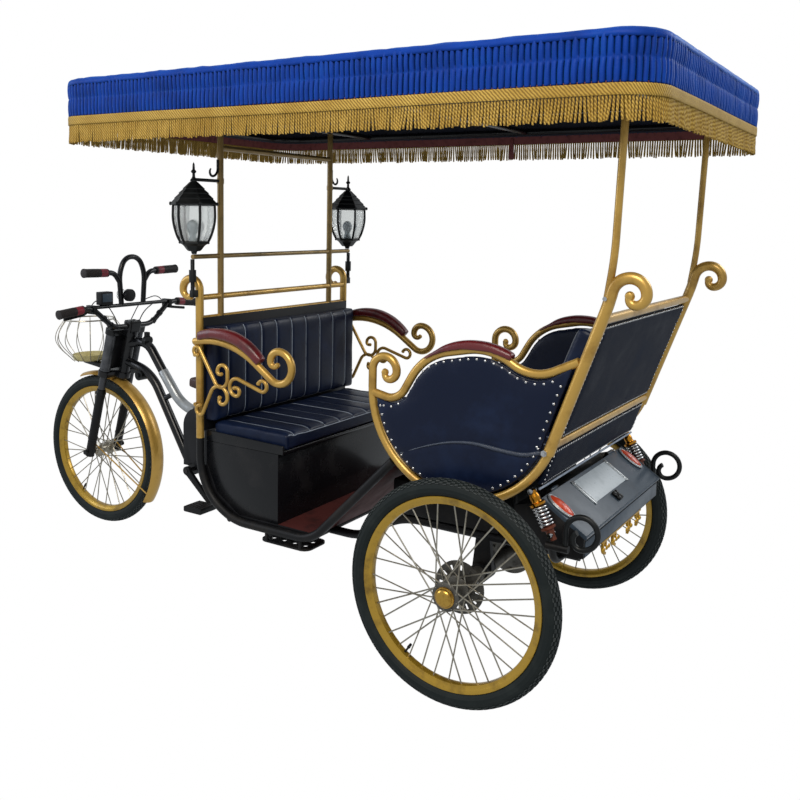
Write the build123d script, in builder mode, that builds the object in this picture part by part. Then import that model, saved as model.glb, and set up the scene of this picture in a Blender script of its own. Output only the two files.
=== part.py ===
from math import cos, radians, sin, tan
import os

from build123d import *

# Electric sightseeing tricycle, in millimetres. The front is -X, the left side -Y, the ground is Z = 0.
# Side views run rearwards from the rear axle, the bench frame or the front axle, and up from the ground.

# Wheels and stance
wheel_radius = 330.0
tyre_radius = 27.5
wheelbase = 2023.0
track = 1012.0
canopy_overhang = 545.0
overall_length = wheel_radius + wheelbase + canopy_overhang
front_axle_x = wheel_radius - overall_length / 2
rear_axle_x = front_axle_x + wheelbase

# Clearances: seats between pieces, and turning fits
seat = 0.3
fit = 0.05

# Rims, hubs and spokes
rim_seat_radius = 280.0
rim_width = 36.0
rim_inner_radius = 258.0
spoke_count = 36
spoke_size = 2.2
spoke_cross = 58.0
flange_offset = 30.0
rear_flange_radius = 40.0
front_flange_radius = 30.0
half_shaft_radius = 11.0
front_spindle_radius = 5.0
brake_disc_radius = 78.0

# Planes and tubes of the body
side_y = 425.0
chassis_tube = 14.0
gold_tube = 12.5
upright_tube = 16.0
post_tube = 14.0
bench_ahead = 1031.0
bench_x = rear_axle_x - bench_ahead
rail_z = 343.0
axle_tube_radius = 22.0
motor_radius = 75.0
motor_length = 200.0
sheet = 4.0

# Steering: the axis leans back by the rake, and the legs stand ahead of it by the fork offset
rake = 15.4
fork_offset = 35.0
leg_spacing = 150.0
stanchion_radius = 15.0
lower_leg_radius = 19.0
steerer_radius = 15.0
head_tube_radius = 23.0
lower_crown = 361.0
upper_crown = 553.0
crown_height = 24.0
crown_half = 26.0
bar_height = 606.0
bar_radius = 11.0
grip_radius = 17.0

# Frame between the head tube and the bench
frame_tube = 19.0
sleeve_tube = 21.0
crank_x = rear_axle_x - 1436.0
crank_length = 170.0
crank_spindle_radius = 8.5
crank_shell_radius = 24.0
crank_shell_half = 40.0

# Canopy
canopy_ahead = 1510.0
canopy_width = 1256.0
canopy_bottom = 1692.0
valance_top = 1812.0
canopy_top = 1866.0
canopy_wall = 8.0
canopy_corner = 120.0
fringe_bottom = 1604.0
canopy_tube = 10.0
crossbar_z = 1712.0
canopy_length = canopy_ahead + canopy_overhang
canopy_centre_x = rear_axle_x + (canopy_overhang - canopy_ahead) / 2

# Rear seat, its tub a round trough about one centre
tub_start = (242.0, 753.0)
tub_heading = 246.0
tub_radius = 297.0
recline = 19.4
upright_length = 412.0
tub_skin = 6.0
tub_centre = (tub_start[0] + tub_radius * cos(radians(tub_heading - 90)),
              tub_start[1] + tub_radius * sin(radians(tub_heading - 90)))
axle_hanger_y = 300.0

# Rear box and its lid
box_width = 710.0
lid_hinge = (195.0, 598.0)
lid_slope = 33.0
lid_length = 164.0
lid_thickness = 8.0
hinge_pin_radius = 3.0


def side(y, x=rear_axle_x):
    """A side view plane: its first axis runs rearwards, its second axis up."""
    return Plane(origin=(x, y, 0), x_dir=(1, 0, 0), z_dir=(0, -1, 0))


def front(x, y=0):
    """A cross plane: its first axis runs to the right side, its second axis up."""
    return Plane(origin=(x, y, 0), x_dir=(0, 1, 0), z_dir=(1, 0, 0))


def bends(points, reach=1000.0):
    """The largest arc that each corner leaves room for, or that starts within a reach of the corner."""
    radii = []
    for before, corner, after in zip(points, points[1:], points[2:]):
        come = Vector(*corner) - Vector(*before)
        go = Vector(*after) - Vector(*corner)
        turn = radians(come.get_angle(go))
        radii.append(min(0.47 * come.length, 0.47 * go.length, reach) / tan(turn / 2))
    return radii


def tube(plane, points, radius, mode=Mode.ADD, reach=1000.0):
    """A bent round tube: straight runs through the points, joined by tangent arcs."""
    with BuildLine(plane) as path:
        if len(points) == 2:
            Line(*points)
        else:
            FilletPolyline(*points, radius=bends(points, reach))
    with BuildSketch(Plane(origin=path.line @ 0, z_dir=path.line % 0)) as section:
        Circle(radius)
    sweep(sections=section.sketch, path=path.line, mode=mode)


def wrought(plane, start, heading, runs, radius, square=False, mode=Mode.ADD):
    """A wrought bar from a start and a heading in degrees.

    Each run is (radius, turn) for an arc, turning left when positive, or (length, 0) for a straight.
    """
    with BuildLine(plane) as path:
        at = plane.from_local_coords(Vector(*start))
        toward = plane.x_dir * cos(radians(heading)) + plane.y_dir * sin(radians(heading))
        for size, turn in runs:
            if turn:
                piece = JernArc(at, toward, size, turn)
            else:
                piece = Line(at, at + toward * size)
            at = piece @ 1
            toward = piece % 1
    with BuildSketch(Plane(origin=path.line @ 0, x_dir=plane.z_dir, z_dir=path.line % 0)) as section:
        if square:
            Rectangle(2 * radius, 2 * radius)
        else:
            Circle(radius)
    sweep(sections=section.sketch, path=path.line, mode=mode)


def rod(start, end, radius, mode=Mode.ADD):
    """A straight round rod between two points in space."""
    run = Vector(*end) - Vector(*start)
    with BuildSketch(Plane(origin=start, z_dir=run)) as section:
        Circle(radius)
    extrude(section.sketch, amount=run.length, mode=mode)


def block(plane, corners, low, high, round_edge=0, mode=Mode.ADD):
    """A flat-sided prism: its outline on the plane, from low to high along the plane's normal."""
    with BuildSketch(plane.offset(low)) as outline:
        with BuildLine():
            Polyline(*corners, close=True)
        make_face()
        if round_edge:
            fillet(outline.vertices(), round_edge)
    extrude(outline.sketch, amount=high - low, mode=mode)


def turned(plane, profile, mode=Mode.ADD):
    """A turned piece about the plane's first axis: its profile is (along the axis, radius)."""
    with BuildSketch(plane) as half:
        with BuildLine():
            Polyline(*profile, close=True)
        make_face()
    revolve(half.sketch, axis=Axis(plane.origin, plane.x_dir), mode=mode)


def keep(piece, name):
    """Writes one finished piece under its name."""
    piece.part.label = name
    export_step(piece.part, f"parts/{name}.step")


def leg(along, behind=0.0):
    """A point of the side view, up the fork from the front axle and behind the legs' own line."""
    lean = radians(rake)
    return (front_axle_x - rear_axle_x + along * sin(lean) + behind * cos(lean),
            wheel_radius + along * cos(lean) - behind * sin(lean))


os.makedirs("parts", exist_ok=True)

# Wheels: name, axle x, centre y, outboard side (0 for the front wheel)
wheels = [
    ("front", front_axle_x, 0.0, 0),
    ("rear_left", rear_axle_x, -track / 2, -1),
    ("rear_right", rear_axle_x, track / 2, 1),
]


def wheel_section(x, y, outboard):
    """The plane of a wheel's section: its first axis is the axle, pointing outboard."""
    return Plane(origin=(x, y, wheel_radius), x_dir=(0, outboard or 1, 0), z_dir=(outboard or 1, 0, 0))


def spokes(x, y, hub_radius):
    """Crossed spokes: pairs leave each flange both ways and meet the rim evenly."""
    for count in range(spoke_count):
        flange = 1 if count % 2 else -1
        lean = 1 if count % 4 < 2 else -1
        at_rim = radians(count * 360 / spoke_count)
        at_hub = at_rim - lean * radians(spoke_cross)
        inner = hub_radius - 5
        outer = rim_inner_radius - seat
        begin = Vector(x + inner * cos(at_hub), y + flange * (flange_offset + lean * 1.2),
                       wheel_radius + inner * sin(at_hub))
        end = Vector(x + outer * cos(at_rim), y + flange * 4 + lean * 1.2,
                     wheel_radius + outer * sin(at_rim))
        run = end - begin
        with BuildSketch(Plane(origin=begin, x_dir=(0, 1, 0), z_dir=run)) as section:
            Rectangle(spoke_size, spoke_size)
        extrude(section.sketch, amount=run.length)


for wheel_name, axle_x, centre_y, outboard in wheels:
    section_plane = wheel_section(axle_x, centre_y, outboard)
    tyre_centre = wheel_radius - tyre_radius

    with BuildPart() as tyre:
        with BuildSketch(section_plane) as tyre_section:
            with Locations((0, tyre_centre)):
                Circle(tyre_radius)
            with Locations((0, rim_seat_radius)):
                Rectangle(4 * tyre_radius, 2 * tyre_radius, align=(Align.CENTER, Align.MAX),
                          mode=Mode.SUBTRACT)
        revolve(axis=Axis(section_plane.origin, section_plane.x_dir))
    keep(tyre, wheel_name + "_tyre")

    with BuildPart() as rim:
        turned(section_plane, [
            (-rim_width / 2, rim_seat_radius), (rim_width / 2, rim_seat_radius),
            (rim_width / 2, rim_seat_radius - 8), (10, rim_inner_radius),
            (-10, rim_inner_radius), (-rim_width / 2, rim_seat_radius - 8)])
    keep(rim, wheel_name + "_rim")

    if outboard:
        # The rear hub turns with its half shaft, carries the brake disc and ends in a domed cap.
        flange_radius = rear_flange_radius
        hub_profile = [
            (-126, 0), (-126, half_shaft_radius), (-62, half_shaft_radius), (-62, 30), (-52, 30),
            (-52, brake_disc_radius), (-48, brake_disc_radius), (-48, 24), (-32, 24),
            (-32, flange_radius), (-28, flange_radius), (-24, 24), (24, 24), (28, flange_radius),
            (32, flange_radius), (34, 28), (44, 26), (51, 18), (54, 8), (54, 0)]
    else:
        # The front hub turns on the fork's spindle, between the lower legs.
        flange_radius = front_flange_radius
        bore = front_spindle_radius + fit
        hub_profile = [
            (-54, bore), (-54, 12), (-34, 16), (-32, flange_radius), (-28, flange_radius), (-26, 18),
            (26, 18), (28, flange_radius), (32, flange_radius), (34, 16), (54, 12), (54, bore)]
    with BuildPart() as hub:
        turned(section_plane, hub_profile)
        spokes(axle_x, centre_y, flange_radius)
        if not outboard:
            rod((axle_x, -60, wheel_radius), (axle_x, 60, wheel_radius),
                front_spindle_radius + fit, mode=Mode.SUBTRACT)
    keep(hub, wheel_name + "_hub")

# Fork: crowns, steerer, stem and stanchions
steer_x_dir = (cos(radians(rake)), 0, -sin(radians(rake)))
steer_z_dir = (sin(radians(rake)), 0, cos(radians(rake)))


def steer(along):
    """A plane square to the steering axis, its origin on that axis."""
    point = leg(along, fork_offset)
    return Plane(origin=(rear_axle_x + point[0], 0, point[1]), x_dir=steer_x_dir, z_dir=steer_z_dir)


def leg_point(along, y):
    point = leg(along)
    return (rear_axle_x + point[0], y, point[1])


def axis_point(along):
    point = leg(along, fork_offset)
    return (rear_axle_x + point[0], 0, point[1])


bar_plane = front(axis_point(bar_height)[0])
bar_low_z = axis_point(bar_height)[2] - 8
low_bar_half = 105.0
# Handlebar, to the right side: distance from the middle, height over its low middle part
low_bar = [(low_bar_half, 0), (215, 91), (372, 75)]
hoop = [(60, 97), (70, 223), (38, 293)]
high_grip_stem = [(70, 193), (97, 229), (248, 233)]
bar_bend = 36.0
brace_radius = 8.0
brace_half = 205.0
brace_z = bar_low_z + 91


def mirrored(points, height=0.0):
    """A route from the left end to the right end, from its right half."""
    right = [(across, height + up) for across, up in points]
    return [(-across, up) for across, up in reversed(right)] + right


with BuildPart() as fork:
    for crown in (lower_crown, upper_crown):
        with BuildSketch(steer(crown)) as crown_outline:
            with Locations((-fork_offset, 0)):
                SlotCenterToCenter(leg_spacing, 2 * crown_half, rotation=90)
            Circle(29)
            with Locations((-fork_offset / 2, 0)):
                Rectangle(fork_offset, 58)
        extrude(crown_outline.sketch, amount=crown_height)
    rod(axis_point(lower_crown), axis_point(bar_height - 34), steerer_radius)
    for leg_y in (-leg_spacing / 2, leg_spacing / 2):
        rod(leg_point(lower_crown + crown_height + 188, leg_y), leg_point(250, leg_y), stanchion_radius)
    with BuildSketch(steer(bar_height - 34)) as stem_outline:
        Rectangle(46, 64)
        fillet(stem_outline.vertices(), 10)
    extrude(stem_outline.sketch, amount=44)
    tube(bar_plane, [(-low_bar_half + 20, bar_low_z), (low_bar_half - 20, bar_low_z)],
         bar_radius + fit, mode=Mode.SUBTRACT)
keep(fork, "fork")

with BuildPart() as fork_lowers:
    for leg_y in (-leg_spacing / 2, leg_spacing / 2):
        rod(leg_point(-18, leg_y), leg_point(290, leg_y), lower_leg_radius)
        rod(leg_point(250 - seat, leg_y), leg_point(300, leg_y), stanchion_radius + fit, mode=Mode.SUBTRACT)
    spindle_half = leg_spacing / 2 + 26
    rod((front_axle_x, -spindle_half, wheel_radius), (front_axle_x, spindle_half, wheel_radius),
        front_spindle_radius)
keep(fork_lowers, "fork_lowers")

# Handlebar: a low bar with its cross brace, a hoop and two short high grips
with BuildPart() as handlebar:
    tube(bar_plane, mirrored(low_bar, bar_low_z), bar_radius, reach=bar_bend)
    tube(bar_plane, [(-brace_half, brace_z), (brace_half, brace_z)], brace_radius)
    tube(bar_plane, mirrored(hoop, bar_low_z), bar_radius)
    for hand in (-1, 1):
        tube(bar_plane, [(hand * across, bar_low_z + up) for across, up in high_grip_stem], bar_radius)
keep(handlebar, "handlebar")

grip_length = 120.0
with BuildPart() as grips:
    for hand in (-1, 1):
        for stem in (low_bar, high_grip_stem):
            tip = Vector(hand * stem[2][0], bar_low_z + stem[2][1])
            root = Vector(hand * stem[1][0], bar_low_z + stem[1][1])
            inward = (root - tip).normalized()
            outer_end = tip - inward * 5
            inner_end = outer_end + inward * grip_length
            tube(bar_plane, [(outer_end.X, outer_end.Y), (inner_end.X, inner_end.Y)], grip_radius)
            tube(bar_plane, [(tip.X - inward.X * fit, tip.Y - inward.Y * fit), (inner_end.X, inner_end.Y)],
                 bar_radius + fit, mode=Mode.SUBTRACT)
keep(grips, "grips")

# Display, lamp and brake levers, clamped on the bar
with BuildPart() as controls:
    block(bar_plane, [(-178, brace_z + brace_radius + seat), (-118, brace_z + brace_radius + seat),
                      (-118, brace_z + 62), (-178, brace_z + 62)], -16, 16, 4)
    with BuildSketch(bar_plane.offset(bar_radius + seat)) as lamp_face:
        with Locations((-34, brace_z + 42)):
            Circle(26)
    extrude(lamp_face.sketch, amount=18)
    for hand in (-1, 1):
        tube(bar_plane.offset(-26), [(hand * 208, bar_low_z + 78), (hand * 235, bar_low_z + 62),
                                     (hand * 330, bar_low_z + 50)], 6)
        block(bar_plane, [(hand * 200, bar_low_z + 62), (hand * 216, bar_low_z + 66),
                          (hand * 216, bar_low_z + 100), (hand * 200, bar_low_z + 100)], -32, 14)
    tube(bar_plane, mirrored(low_bar, bar_low_z), bar_radius + seat, mode=Mode.SUBTRACT, reach=bar_bend)
    tube(bar_plane, [(-brace_half, brace_z), (brace_half, brace_z)], brace_radius + seat, mode=Mode.SUBTRACT)
keep(controls, "controls")

# Front fender: a rolled band from ahead of the top to low behind the wheel, a bridge and a stay on each side
fender_radius = 350.0
fender_half = 34.0
fender_start = -19.0
fender_turn = 143.0
stay_radius = 3.0
with BuildPart() as front_fender:
    fender_up = Vector(sin(radians(fender_start)), 0, cos(radians(fender_start)))
    fender_plane = Plane(origin=(front_axle_x, 0, wheel_radius), x_dir=(0, 1, 0),
                         z_dir=Vector(0, 1, 0).cross(fender_up))
    with BuildSketch(fender_plane) as fender_section:
        with BuildLine():
            outer = ThreePointArc((-fender_half, fender_radius - 14), (0, fender_radius),
                                  (fender_half, fender_radius - 14))
            inner = ThreePointArc((-fender_half + 2, fender_radius - 16), (0, fender_radius - 3),
                                  (fender_half - 2, fender_radius - 16))
            Line(outer @ 0, inner @ 0)
            Line(outer @ 1, inner @ 1)
        make_face()
    revolve(fender_section.sketch, axis=Axis((front_axle_x, 0, wheel_radius), (0, 1, 0)),
            revolution_arc=fender_turn)
    bridge_half = leg_spacing / 2 - stanchion_radius - seat
    rod(leg_point(fender_radius - 4, -bridge_half), leg_point(fender_radius - 4, bridge_half), 5)
    stay_end = radians(fender_start + fender_turn - 8)
    stay_reach = fender_radius - 15
    for hand in (-1, 1):
        foot = leg_point(30, hand * (leg_spacing / 2 - lower_leg_radius - seat - stay_radius))
        rod(foot, (front_axle_x + stay_reach * sin(stay_end), hand * (fender_half - 1),
                   wheel_radius + stay_reach * cos(stay_end)), stay_radius)
keep(front_fender, "front_fender")

# Basket: a bulging cage of rods between an oval rim and a pressed tray
basket_x = rear_axle_x - 2100.0
basket_rim_z = 905.0
basket_belly_z = 825.0
basket_tray_z = 722.0
basket_long = 1.25
basket_rods = 16
rim_across, belly_across, tray_across = 92.0, 126.0, 62.0
with BuildPart() as basket:
    with BuildSketch(Plane.XY.offset(basket_tray_z)) as tray:
        with Locations((basket_x, 0)):
            Ellipse(tray_across, tray_across * basket_long)
    extrude(tray.sketch, amount=26)
    with BuildSketch(Plane.XY.offset(basket_tray_z + 6)) as tray_hollow:
        with Locations((basket_x, 0)):
            Ellipse(tray_across - 5, tray_across * basket_long - 5)
    extrude(tray_hollow.sketch, amount=26, mode=Mode.SUBTRACT)
    with BuildSketch(Plane.XY.offset(basket_rim_z - 4)) as hoop_ring:
        with Locations((basket_x, 0)):
            Ellipse(rim_across + 4, rim_across * basket_long + 4)
            Ellipse(rim_across - 4, rim_across * basket_long - 4, mode=Mode.SUBTRACT)
    extrude(hoop_ring.sketch, amount=8)
    for count in range(basket_rods):
        way = radians((count + 0.5) * 360 / basket_rods)
        reach = Vector(cos(way), basket_long * sin(way), 0)
        middle = Vector(basket_x, 0, 0)
        low = middle + reach * (tray_across - 2.5) + Vector(0, 0, basket_tray_z + 12)
        belly = middle + reach * belly_across + Vector(0, 0, basket_belly_z)
        high = middle + reach * rim_across + Vector(0, 0, basket_rim_z)
        with BuildLine() as rib:
            ThreePointArc(low, belly, high)
        with BuildSketch(Plane(origin=rib.line @ 0, z_dir=rib.line % 0)) as rib_section:
            Rectangle(3.2, 3.2)
        sweep(sections=rib_section.sketch, path=rib.line)
    carrier_top = basket_tray_z
    block(side(0), [(-2100 - 30, carrier_top), (-2100 + 30, carrier_top),
                    leg(lower_crown + 18, -crown_half - seat), leg(lower_crown + 4, -crown_half - seat),
                    (-2100 - 20, carrier_top - 14)], -20, 20)
keep(basket, "basket")

# Front frame: head tube, top tube, down tube, link and crank shell
top_tube_route = [(-1850, 816), (-1742, 838), (-1649, 717)]
sleeve_route = [(-1649, 717), (-1549, 594), (-1440, 561)]
crank_at = crank_x - rear_axle_x
down_tube_route = [(-1872, 742), (-1716, 702), (crank_at - 62, 349), (crank_at, rail_z)]
with BuildPart() as front_frame:
    tube(side(0), top_tube_route, frame_tube)
    tube(side(0), down_tube_route, frame_tube)
    tube(side(0), [(-1648, 600), (-1590, 628)], 11)
    rod((crank_x, -crank_shell_half, rail_z), (crank_x, crank_shell_half, rail_z), crank_shell_radius)
    rod(axis_point(lower_crown + crown_height + seat), axis_point(upper_crown - seat), head_tube_radius)
    rod(axis_point(lower_crown), axis_point(upper_crown + crown_height), steerer_radius + fit,
        mode=Mode.SUBTRACT)
    tube(side(0), sleeve_route, sleeve_tube + seat, mode=Mode.SUBTRACT)
    rod((crank_x, -crank_shell_half, rail_z), (crank_x, crank_shell_half, rail_z),
        crank_spindle_radius + fit, mode=Mode.SUBTRACT)
keep(front_frame, "front_frame")

# Battery case under the saddle, on the spine tube
case_front, case_back = -1480.0, -1290.0
case_low, case_top = rail_z + chassis_tube + seat, 600.0
case_half = 55.0
case_corner = 80.0
case_outline = [(case_front, case_low), (case_back, case_low), (case_back, case_top), (case_front, case_top)]
with BuildPart() as battery_case:
    block(side(0), case_outline, -case_half, case_half)
    rod((crank_x, -crank_shell_half, rail_z), (crank_x, crank_shell_half, rail_z),
        crank_shell_radius + seat, mode=Mode.SUBTRACT)
    rod((crank_x, -case_half, rail_z), (crank_x, case_half, rail_z), crank_shell_radius + seat,
        mode=Mode.SUBTRACT)
    tube(side(0), down_tube_route, frame_tube + seat, mode=Mode.SUBTRACT)
    long_edges = battery_case.edges().filter_by(Axis.Y).group_by(Axis.Z)[-1]
    fillet(long_edges, case_corner)
keep(battery_case, "battery_case")

with BuildPart() as frame_sleeve:
    tube(side(0), sleeve_route, sleeve_tube)
    add(battery_case.part, mode=Mode.SUBTRACT)
    sleeve_cut = case_front + 14
    block(side(0), [(sleeve_cut, 520), (sleeve_cut + 60, 520), (sleeve_cut + 60, 620), (sleeve_cut, 620)],
          -40, 40, mode=Mode.SUBTRACT)
keep(frame_sleeve, "frame_sleeve")

# Saddle on its post and springs
saddle_nose, saddle_tail = -1498.0, -1232.0
saddle_low, saddle_top = 671.0, 711.0
post_at = -1372.0
with BuildPart() as saddle:
    with BuildSketch(Plane.XY.offset(saddle_low)) as saddle_plan:
        with BuildLine():
            nose = ThreePointArc((rear_axle_x + saddle_nose + 20, -20), (rear_axle_x + saddle_nose, 0),
                                 (rear_axle_x + saddle_nose + 20, 20))
            right_flank = Line(nose @ 1, (rear_axle_x + saddle_nose + 110, 40))
            left_flank = Line(nose @ 0, (rear_axle_x + saddle_nose + 110, -40))
            right_curve = Line(right_flank @ 1, (rear_axle_x + saddle_tail - 60, 100))
            left_curve = Line(left_flank @ 1, (rear_axle_x + saddle_tail - 60, -100))
            ThreePointArc(left_curve @ 1, (rear_axle_x + saddle_tail, 0), right_curve @ 1)
        make_face()
    extrude(amount=saddle_top - saddle_low)
    fillet(saddle.edges().group_by(Axis.Z)[-1], 12)
keep(saddle, "saddle")

with BuildPart() as saddle_post:
    rod((rear_axle_x + post_at, 0, case_top + seat), (rear_axle_x + post_at, 0, saddle_low - 8), 15)
    block(Plane.XY, [(rear_axle_x + post_at - 70, -18), (rear_axle_x + post_at + 110, -60),
                     (rear_axle_x + post_at + 110, 60), (rear_axle_x + post_at - 70, 18)],
          saddle_low - 10, saddle_low - seat)
    for spring_y in (-40, 40):
        rod((rear_axle_x + post_at + 80, spring_y, saddle_low - 66), (rear_axle_x + post_at + 80, spring_y,
                                                                     saddle_low - 8), 14)
    rod((rear_axle_x + post_at + 80, -40, saddle_low - 62),
        (rear_axle_x + post_at + 80, 40, saddle_low - 62), 6)
    rod((rear_axle_x + post_at, 0, saddle_low - 62), (rear_axle_x + post_at + 80, 0, saddle_low - 62), 6)
keep(saddle_post, "saddle_post")

# Crank set: one arm down and back on the left side, the other opposite it
crank_angle = 318.0
arm_y = 78.0
pedal_long, pedal_wide, pedal_thick = 92.0, 84.0, 22.0
with BuildPart() as crank_set:
    rod((crank_x, -arm_y - 6, rail_z), (crank_x, arm_y + 6, rail_z), crank_spindle_radius)
    for hand in (-1, 1):
        lean = radians(crank_angle if hand < 0 else crank_angle - 180)
        across, up = crank_length * cos(lean), crank_length * sin(lean)
        with BuildSketch(side(0, crank_x).offset(-hand * arm_y - 7)) as arm_outline:
            with BuildLine():
                Polyline((-14 * sin(lean), rail_z + 14 * cos(lean)),
                         (14 * sin(lean), rail_z - 14 * cos(lean)),
                         (across + 9 * sin(lean), rail_z + up - 9 * cos(lean)),
                         (across - 9 * sin(lean), rail_z + up + 9 * cos(lean)), close=True)
            make_face()
            with Locations((0, rail_z)):
                Circle(18)
            with Locations((across, rail_z + up)):
                Circle(12)
        extrude(arm_outline.sketch, amount=14)
        rod((crank_x + across, hand * arm_y, rail_z + up),
            (crank_x + across, hand * (arm_y + 20 + pedal_wide), rail_z + up), 5)
        block(side(0, crank_x), [(across - pedal_long / 2, rail_z + up - pedal_thick / 2),
                                 (across + pedal_long / 2, rail_z + up - pedal_thick / 2),
                                 (across + pedal_long / 2, rail_z + up + pedal_thick / 2),
                                 (across - pedal_long / 2, rail_z + up + pedal_thick / 2)],
              min(-hand * (arm_y + 20), -hand * (arm_y + 20 + pedal_wide)),
              max(-hand * (arm_y + 20), -hand * (arm_y + 20 + pedal_wide)), 6)
keep(crank_set, "crank_set")

# Chassis: side rails that cradle the bench box, run under the floor and climb to the tub
rail_top = 610.0
floor_front, floor_back = -700.0, -550.0
foot_angle = 225.1


def below_tub(angle, gap):
    """A point outside the trough's own circle, at an angle about its centre."""
    reach = tub_radius + gap
    return (tub_centre[0] + reach * cos(radians(angle)), tub_centre[1] + reach * sin(radians(angle)))


rail_route = [(-1031, rail_top), (-1031, 500), (-985, 405), (-880, rail_z), (floor_back, rail_z),
              below_tub(foot_angle, gold_tube + seat)]
rear_rail_z = 440.0
rail_bend = 60.0
rear_rail_route = [(floor_back - 12, rail_z), (-430, rail_z), (-300, rear_rail_z), (300, rear_rail_z)]
shock_foot = (256.0, 528.0)
shock_head = (193.0, 641.0)
bracket_z = 495.0
bracket_y = 414.0
bracket_radius = 11.0
cross_radius = 11.0
cross_z = rail_z + chassis_tube - cross_radius
# Cross rods: behind the rear axle, height, half length
cross_rods = [
    (-900.0, cross_z, side_y),
    (floor_front + 10, cross_z, side_y),
    (floor_back - 12, cross_z, side_y),
    (-300.0, rear_rail_z, axle_hanger_y),
    (280.0, rear_rail_z, axle_hanger_y),
]
with BuildPart() as chassis_frame:
    for hand in (-1, 1):
        tube(side(hand * side_y), rail_route, chassis_tube, reach=rail_bend)
        tube(side(hand * axle_hanger_y), rear_rail_route, chassis_tube)
        bracket_route = [(hand * axle_hanger_y, rear_rail_z), (hand * 385, rear_rail_z + 4),
                         (hand * bracket_y, bracket_z)]
        tube(front(rear_axle_x + shock_foot[0]), bracket_route, bracket_radius)
        tube(side(hand * bracket_y), [(shock_foot[0] - 14, bracket_z), (306, bracket_z)], bracket_radius)
        block(side(hand * axle_hanger_y), [(-34, wheel_radius - 6), (34, wheel_radius - 6), (22, rear_rail_z),
                                           (-22, rear_rail_z)], -9, 9)
        rod((rear_axle_x, hand * (axle_hanger_y - 30), wheel_radius),
            (rear_axle_x, hand * (axle_hanger_y + 30), wheel_radius), axle_tube_radius + 8)
    for cross_x, cross_z, cross_half in cross_rods:
        rod((rear_axle_x + cross_x, -cross_half, cross_z), (rear_axle_x + cross_x, cross_half, cross_z),
            cross_radius)
    tube(side(0), [(crank_at + crank_shell_radius + seat, rail_z), (floor_front + 10, rail_z)], chassis_tube)
    rod((rear_axle_x, -axle_hanger_y - 60, wheel_radius), (rear_axle_x, axle_hanger_y + 60, wheel_radius),
        axle_tube_radius + seat, mode=Mode.SUBTRACT)
keep(chassis_frame, "chassis_frame")

# Rear axle: two tubes from the hub motor's case to the wheel bearings, and the motor between them
bearing_end = track / 2 - 66
with BuildPart() as rear_axle:
    for hand in (-1, 1):
        rod((rear_axle_x, hand * (motor_length / 2 + seat), wheel_radius),
            (rear_axle_x, hand * bearing_end, wheel_radius), axle_tube_radius)
        rod((rear_axle_x, hand * (motor_length / 2 + seat), wheel_radius),
            (rear_axle_x, hand * (motor_length / 2 + 16), wheel_radius), 48)
        rod((rear_axle_x, hand * (bearing_end - 65), wheel_radius),
            (rear_axle_x, hand * (bearing_end + 5), wheel_radius), half_shaft_radius + fit,
            mode=Mode.SUBTRACT)
keep(rear_axle, "rear_axle")

with BuildPart() as motor:
    rod((rear_axle_x, -motor_length / 2, wheel_radius), (rear_axle_x, motor_length / 2, wheel_radius),
        motor_radius)
keep(motor, "motor")

# Floor plate and the slanted footboard up to the tub
board_half = side_y - chassis_tube - seat
floor_z = rail_z + chassis_tube + seat
with BuildPart() as floor_plate:
    block(side(0), [(floor_front + seat, floor_z), (floor_back, floor_z), (floor_back, floor_z + sheet),
                    (floor_front + seat, floor_z + sheet)], -board_half, board_half)
keep(floor_plate, "floor_plate")

with BuildPart() as footboard:
    block(side(0), [(floor_back + 1, floor_z), (floor_back + 9, floor_z), below_tub(foot_angle + 0.8, seat),
                    below_tub(foot_angle - 0.8, seat)], -board_half, board_half)
keep(footboard, "footboard")

# Step plates hung under the rails, pierced with rows of holes
step_front, step_back = -765.0, -565.0
step_z = 300.0
with BuildPart() as steps:
    for hand in (-1, 1):
        with BuildSketch(Plane.XY.offset(step_z)) as plate:
            with Locations((rear_axle_x + (step_front + step_back) / 2, hand * 370)):
                RectangleRounded(step_back - step_front, 120, 30)
                with GridLocations(44, 40, 4, 2):
                    RegularPolygon(12, 6, mode=Mode.SUBTRACT)
        extrude(plate.sketch, amount=6)
        for hanger_x in (step_front + 30, step_back - 30):
            rod((rear_axle_x + hanger_x, hand * side_y, step_z + 3),
                (rear_axle_x + hanger_x, hand * side_y, rail_z), 6)
        tube(side(hand * side_y), rail_route, chassis_tube + seat, mode=Mode.SUBTRACT, reach=rail_bend)
        for cross_x in (floor_front + 10, floor_back - 12):
            rod((rear_axle_x + cross_x, -side_y, cross_z), (rear_axle_x + cross_x, side_y, cross_z),
                cross_radius + seat, mode=Mode.SUBTRACT)
keep(steps, "steps")

# Bench: steel box, board with raised lips, cushion, backrest, frame and arms
box_half = side_y - chassis_tube - seat
bench_board_low = 598.0
clear_rail = chassis_tube + seat
bench_box_outline = [(-1031 + clear_rail, bench_board_low), (-1031 + clear_rail, 500 + 10),
                     (-985 + clear_rail, 405 + clear_rail), (-880 + 6, rail_z + clear_rail),
                     (floor_front, rail_z + clear_rail), (floor_front, bench_board_low)]
bench_box_hollow = [(-1010, bench_board_low), (-1010, 516), (-966, 426), (-872, rail_z + clear_rail + sheet),
                    (floor_front - sheet, rail_z + clear_rail + sheet),
                    (floor_front - sheet, bench_board_low)]
with BuildPart() as bench_box:
    block(side(0), bench_box_outline, -box_half, box_half)
    block(side(0), bench_box_hollow, -box_half + sheet, box_half - sheet, mode=Mode.SUBTRACT)
keep(bench_box, "bench_box")

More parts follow.
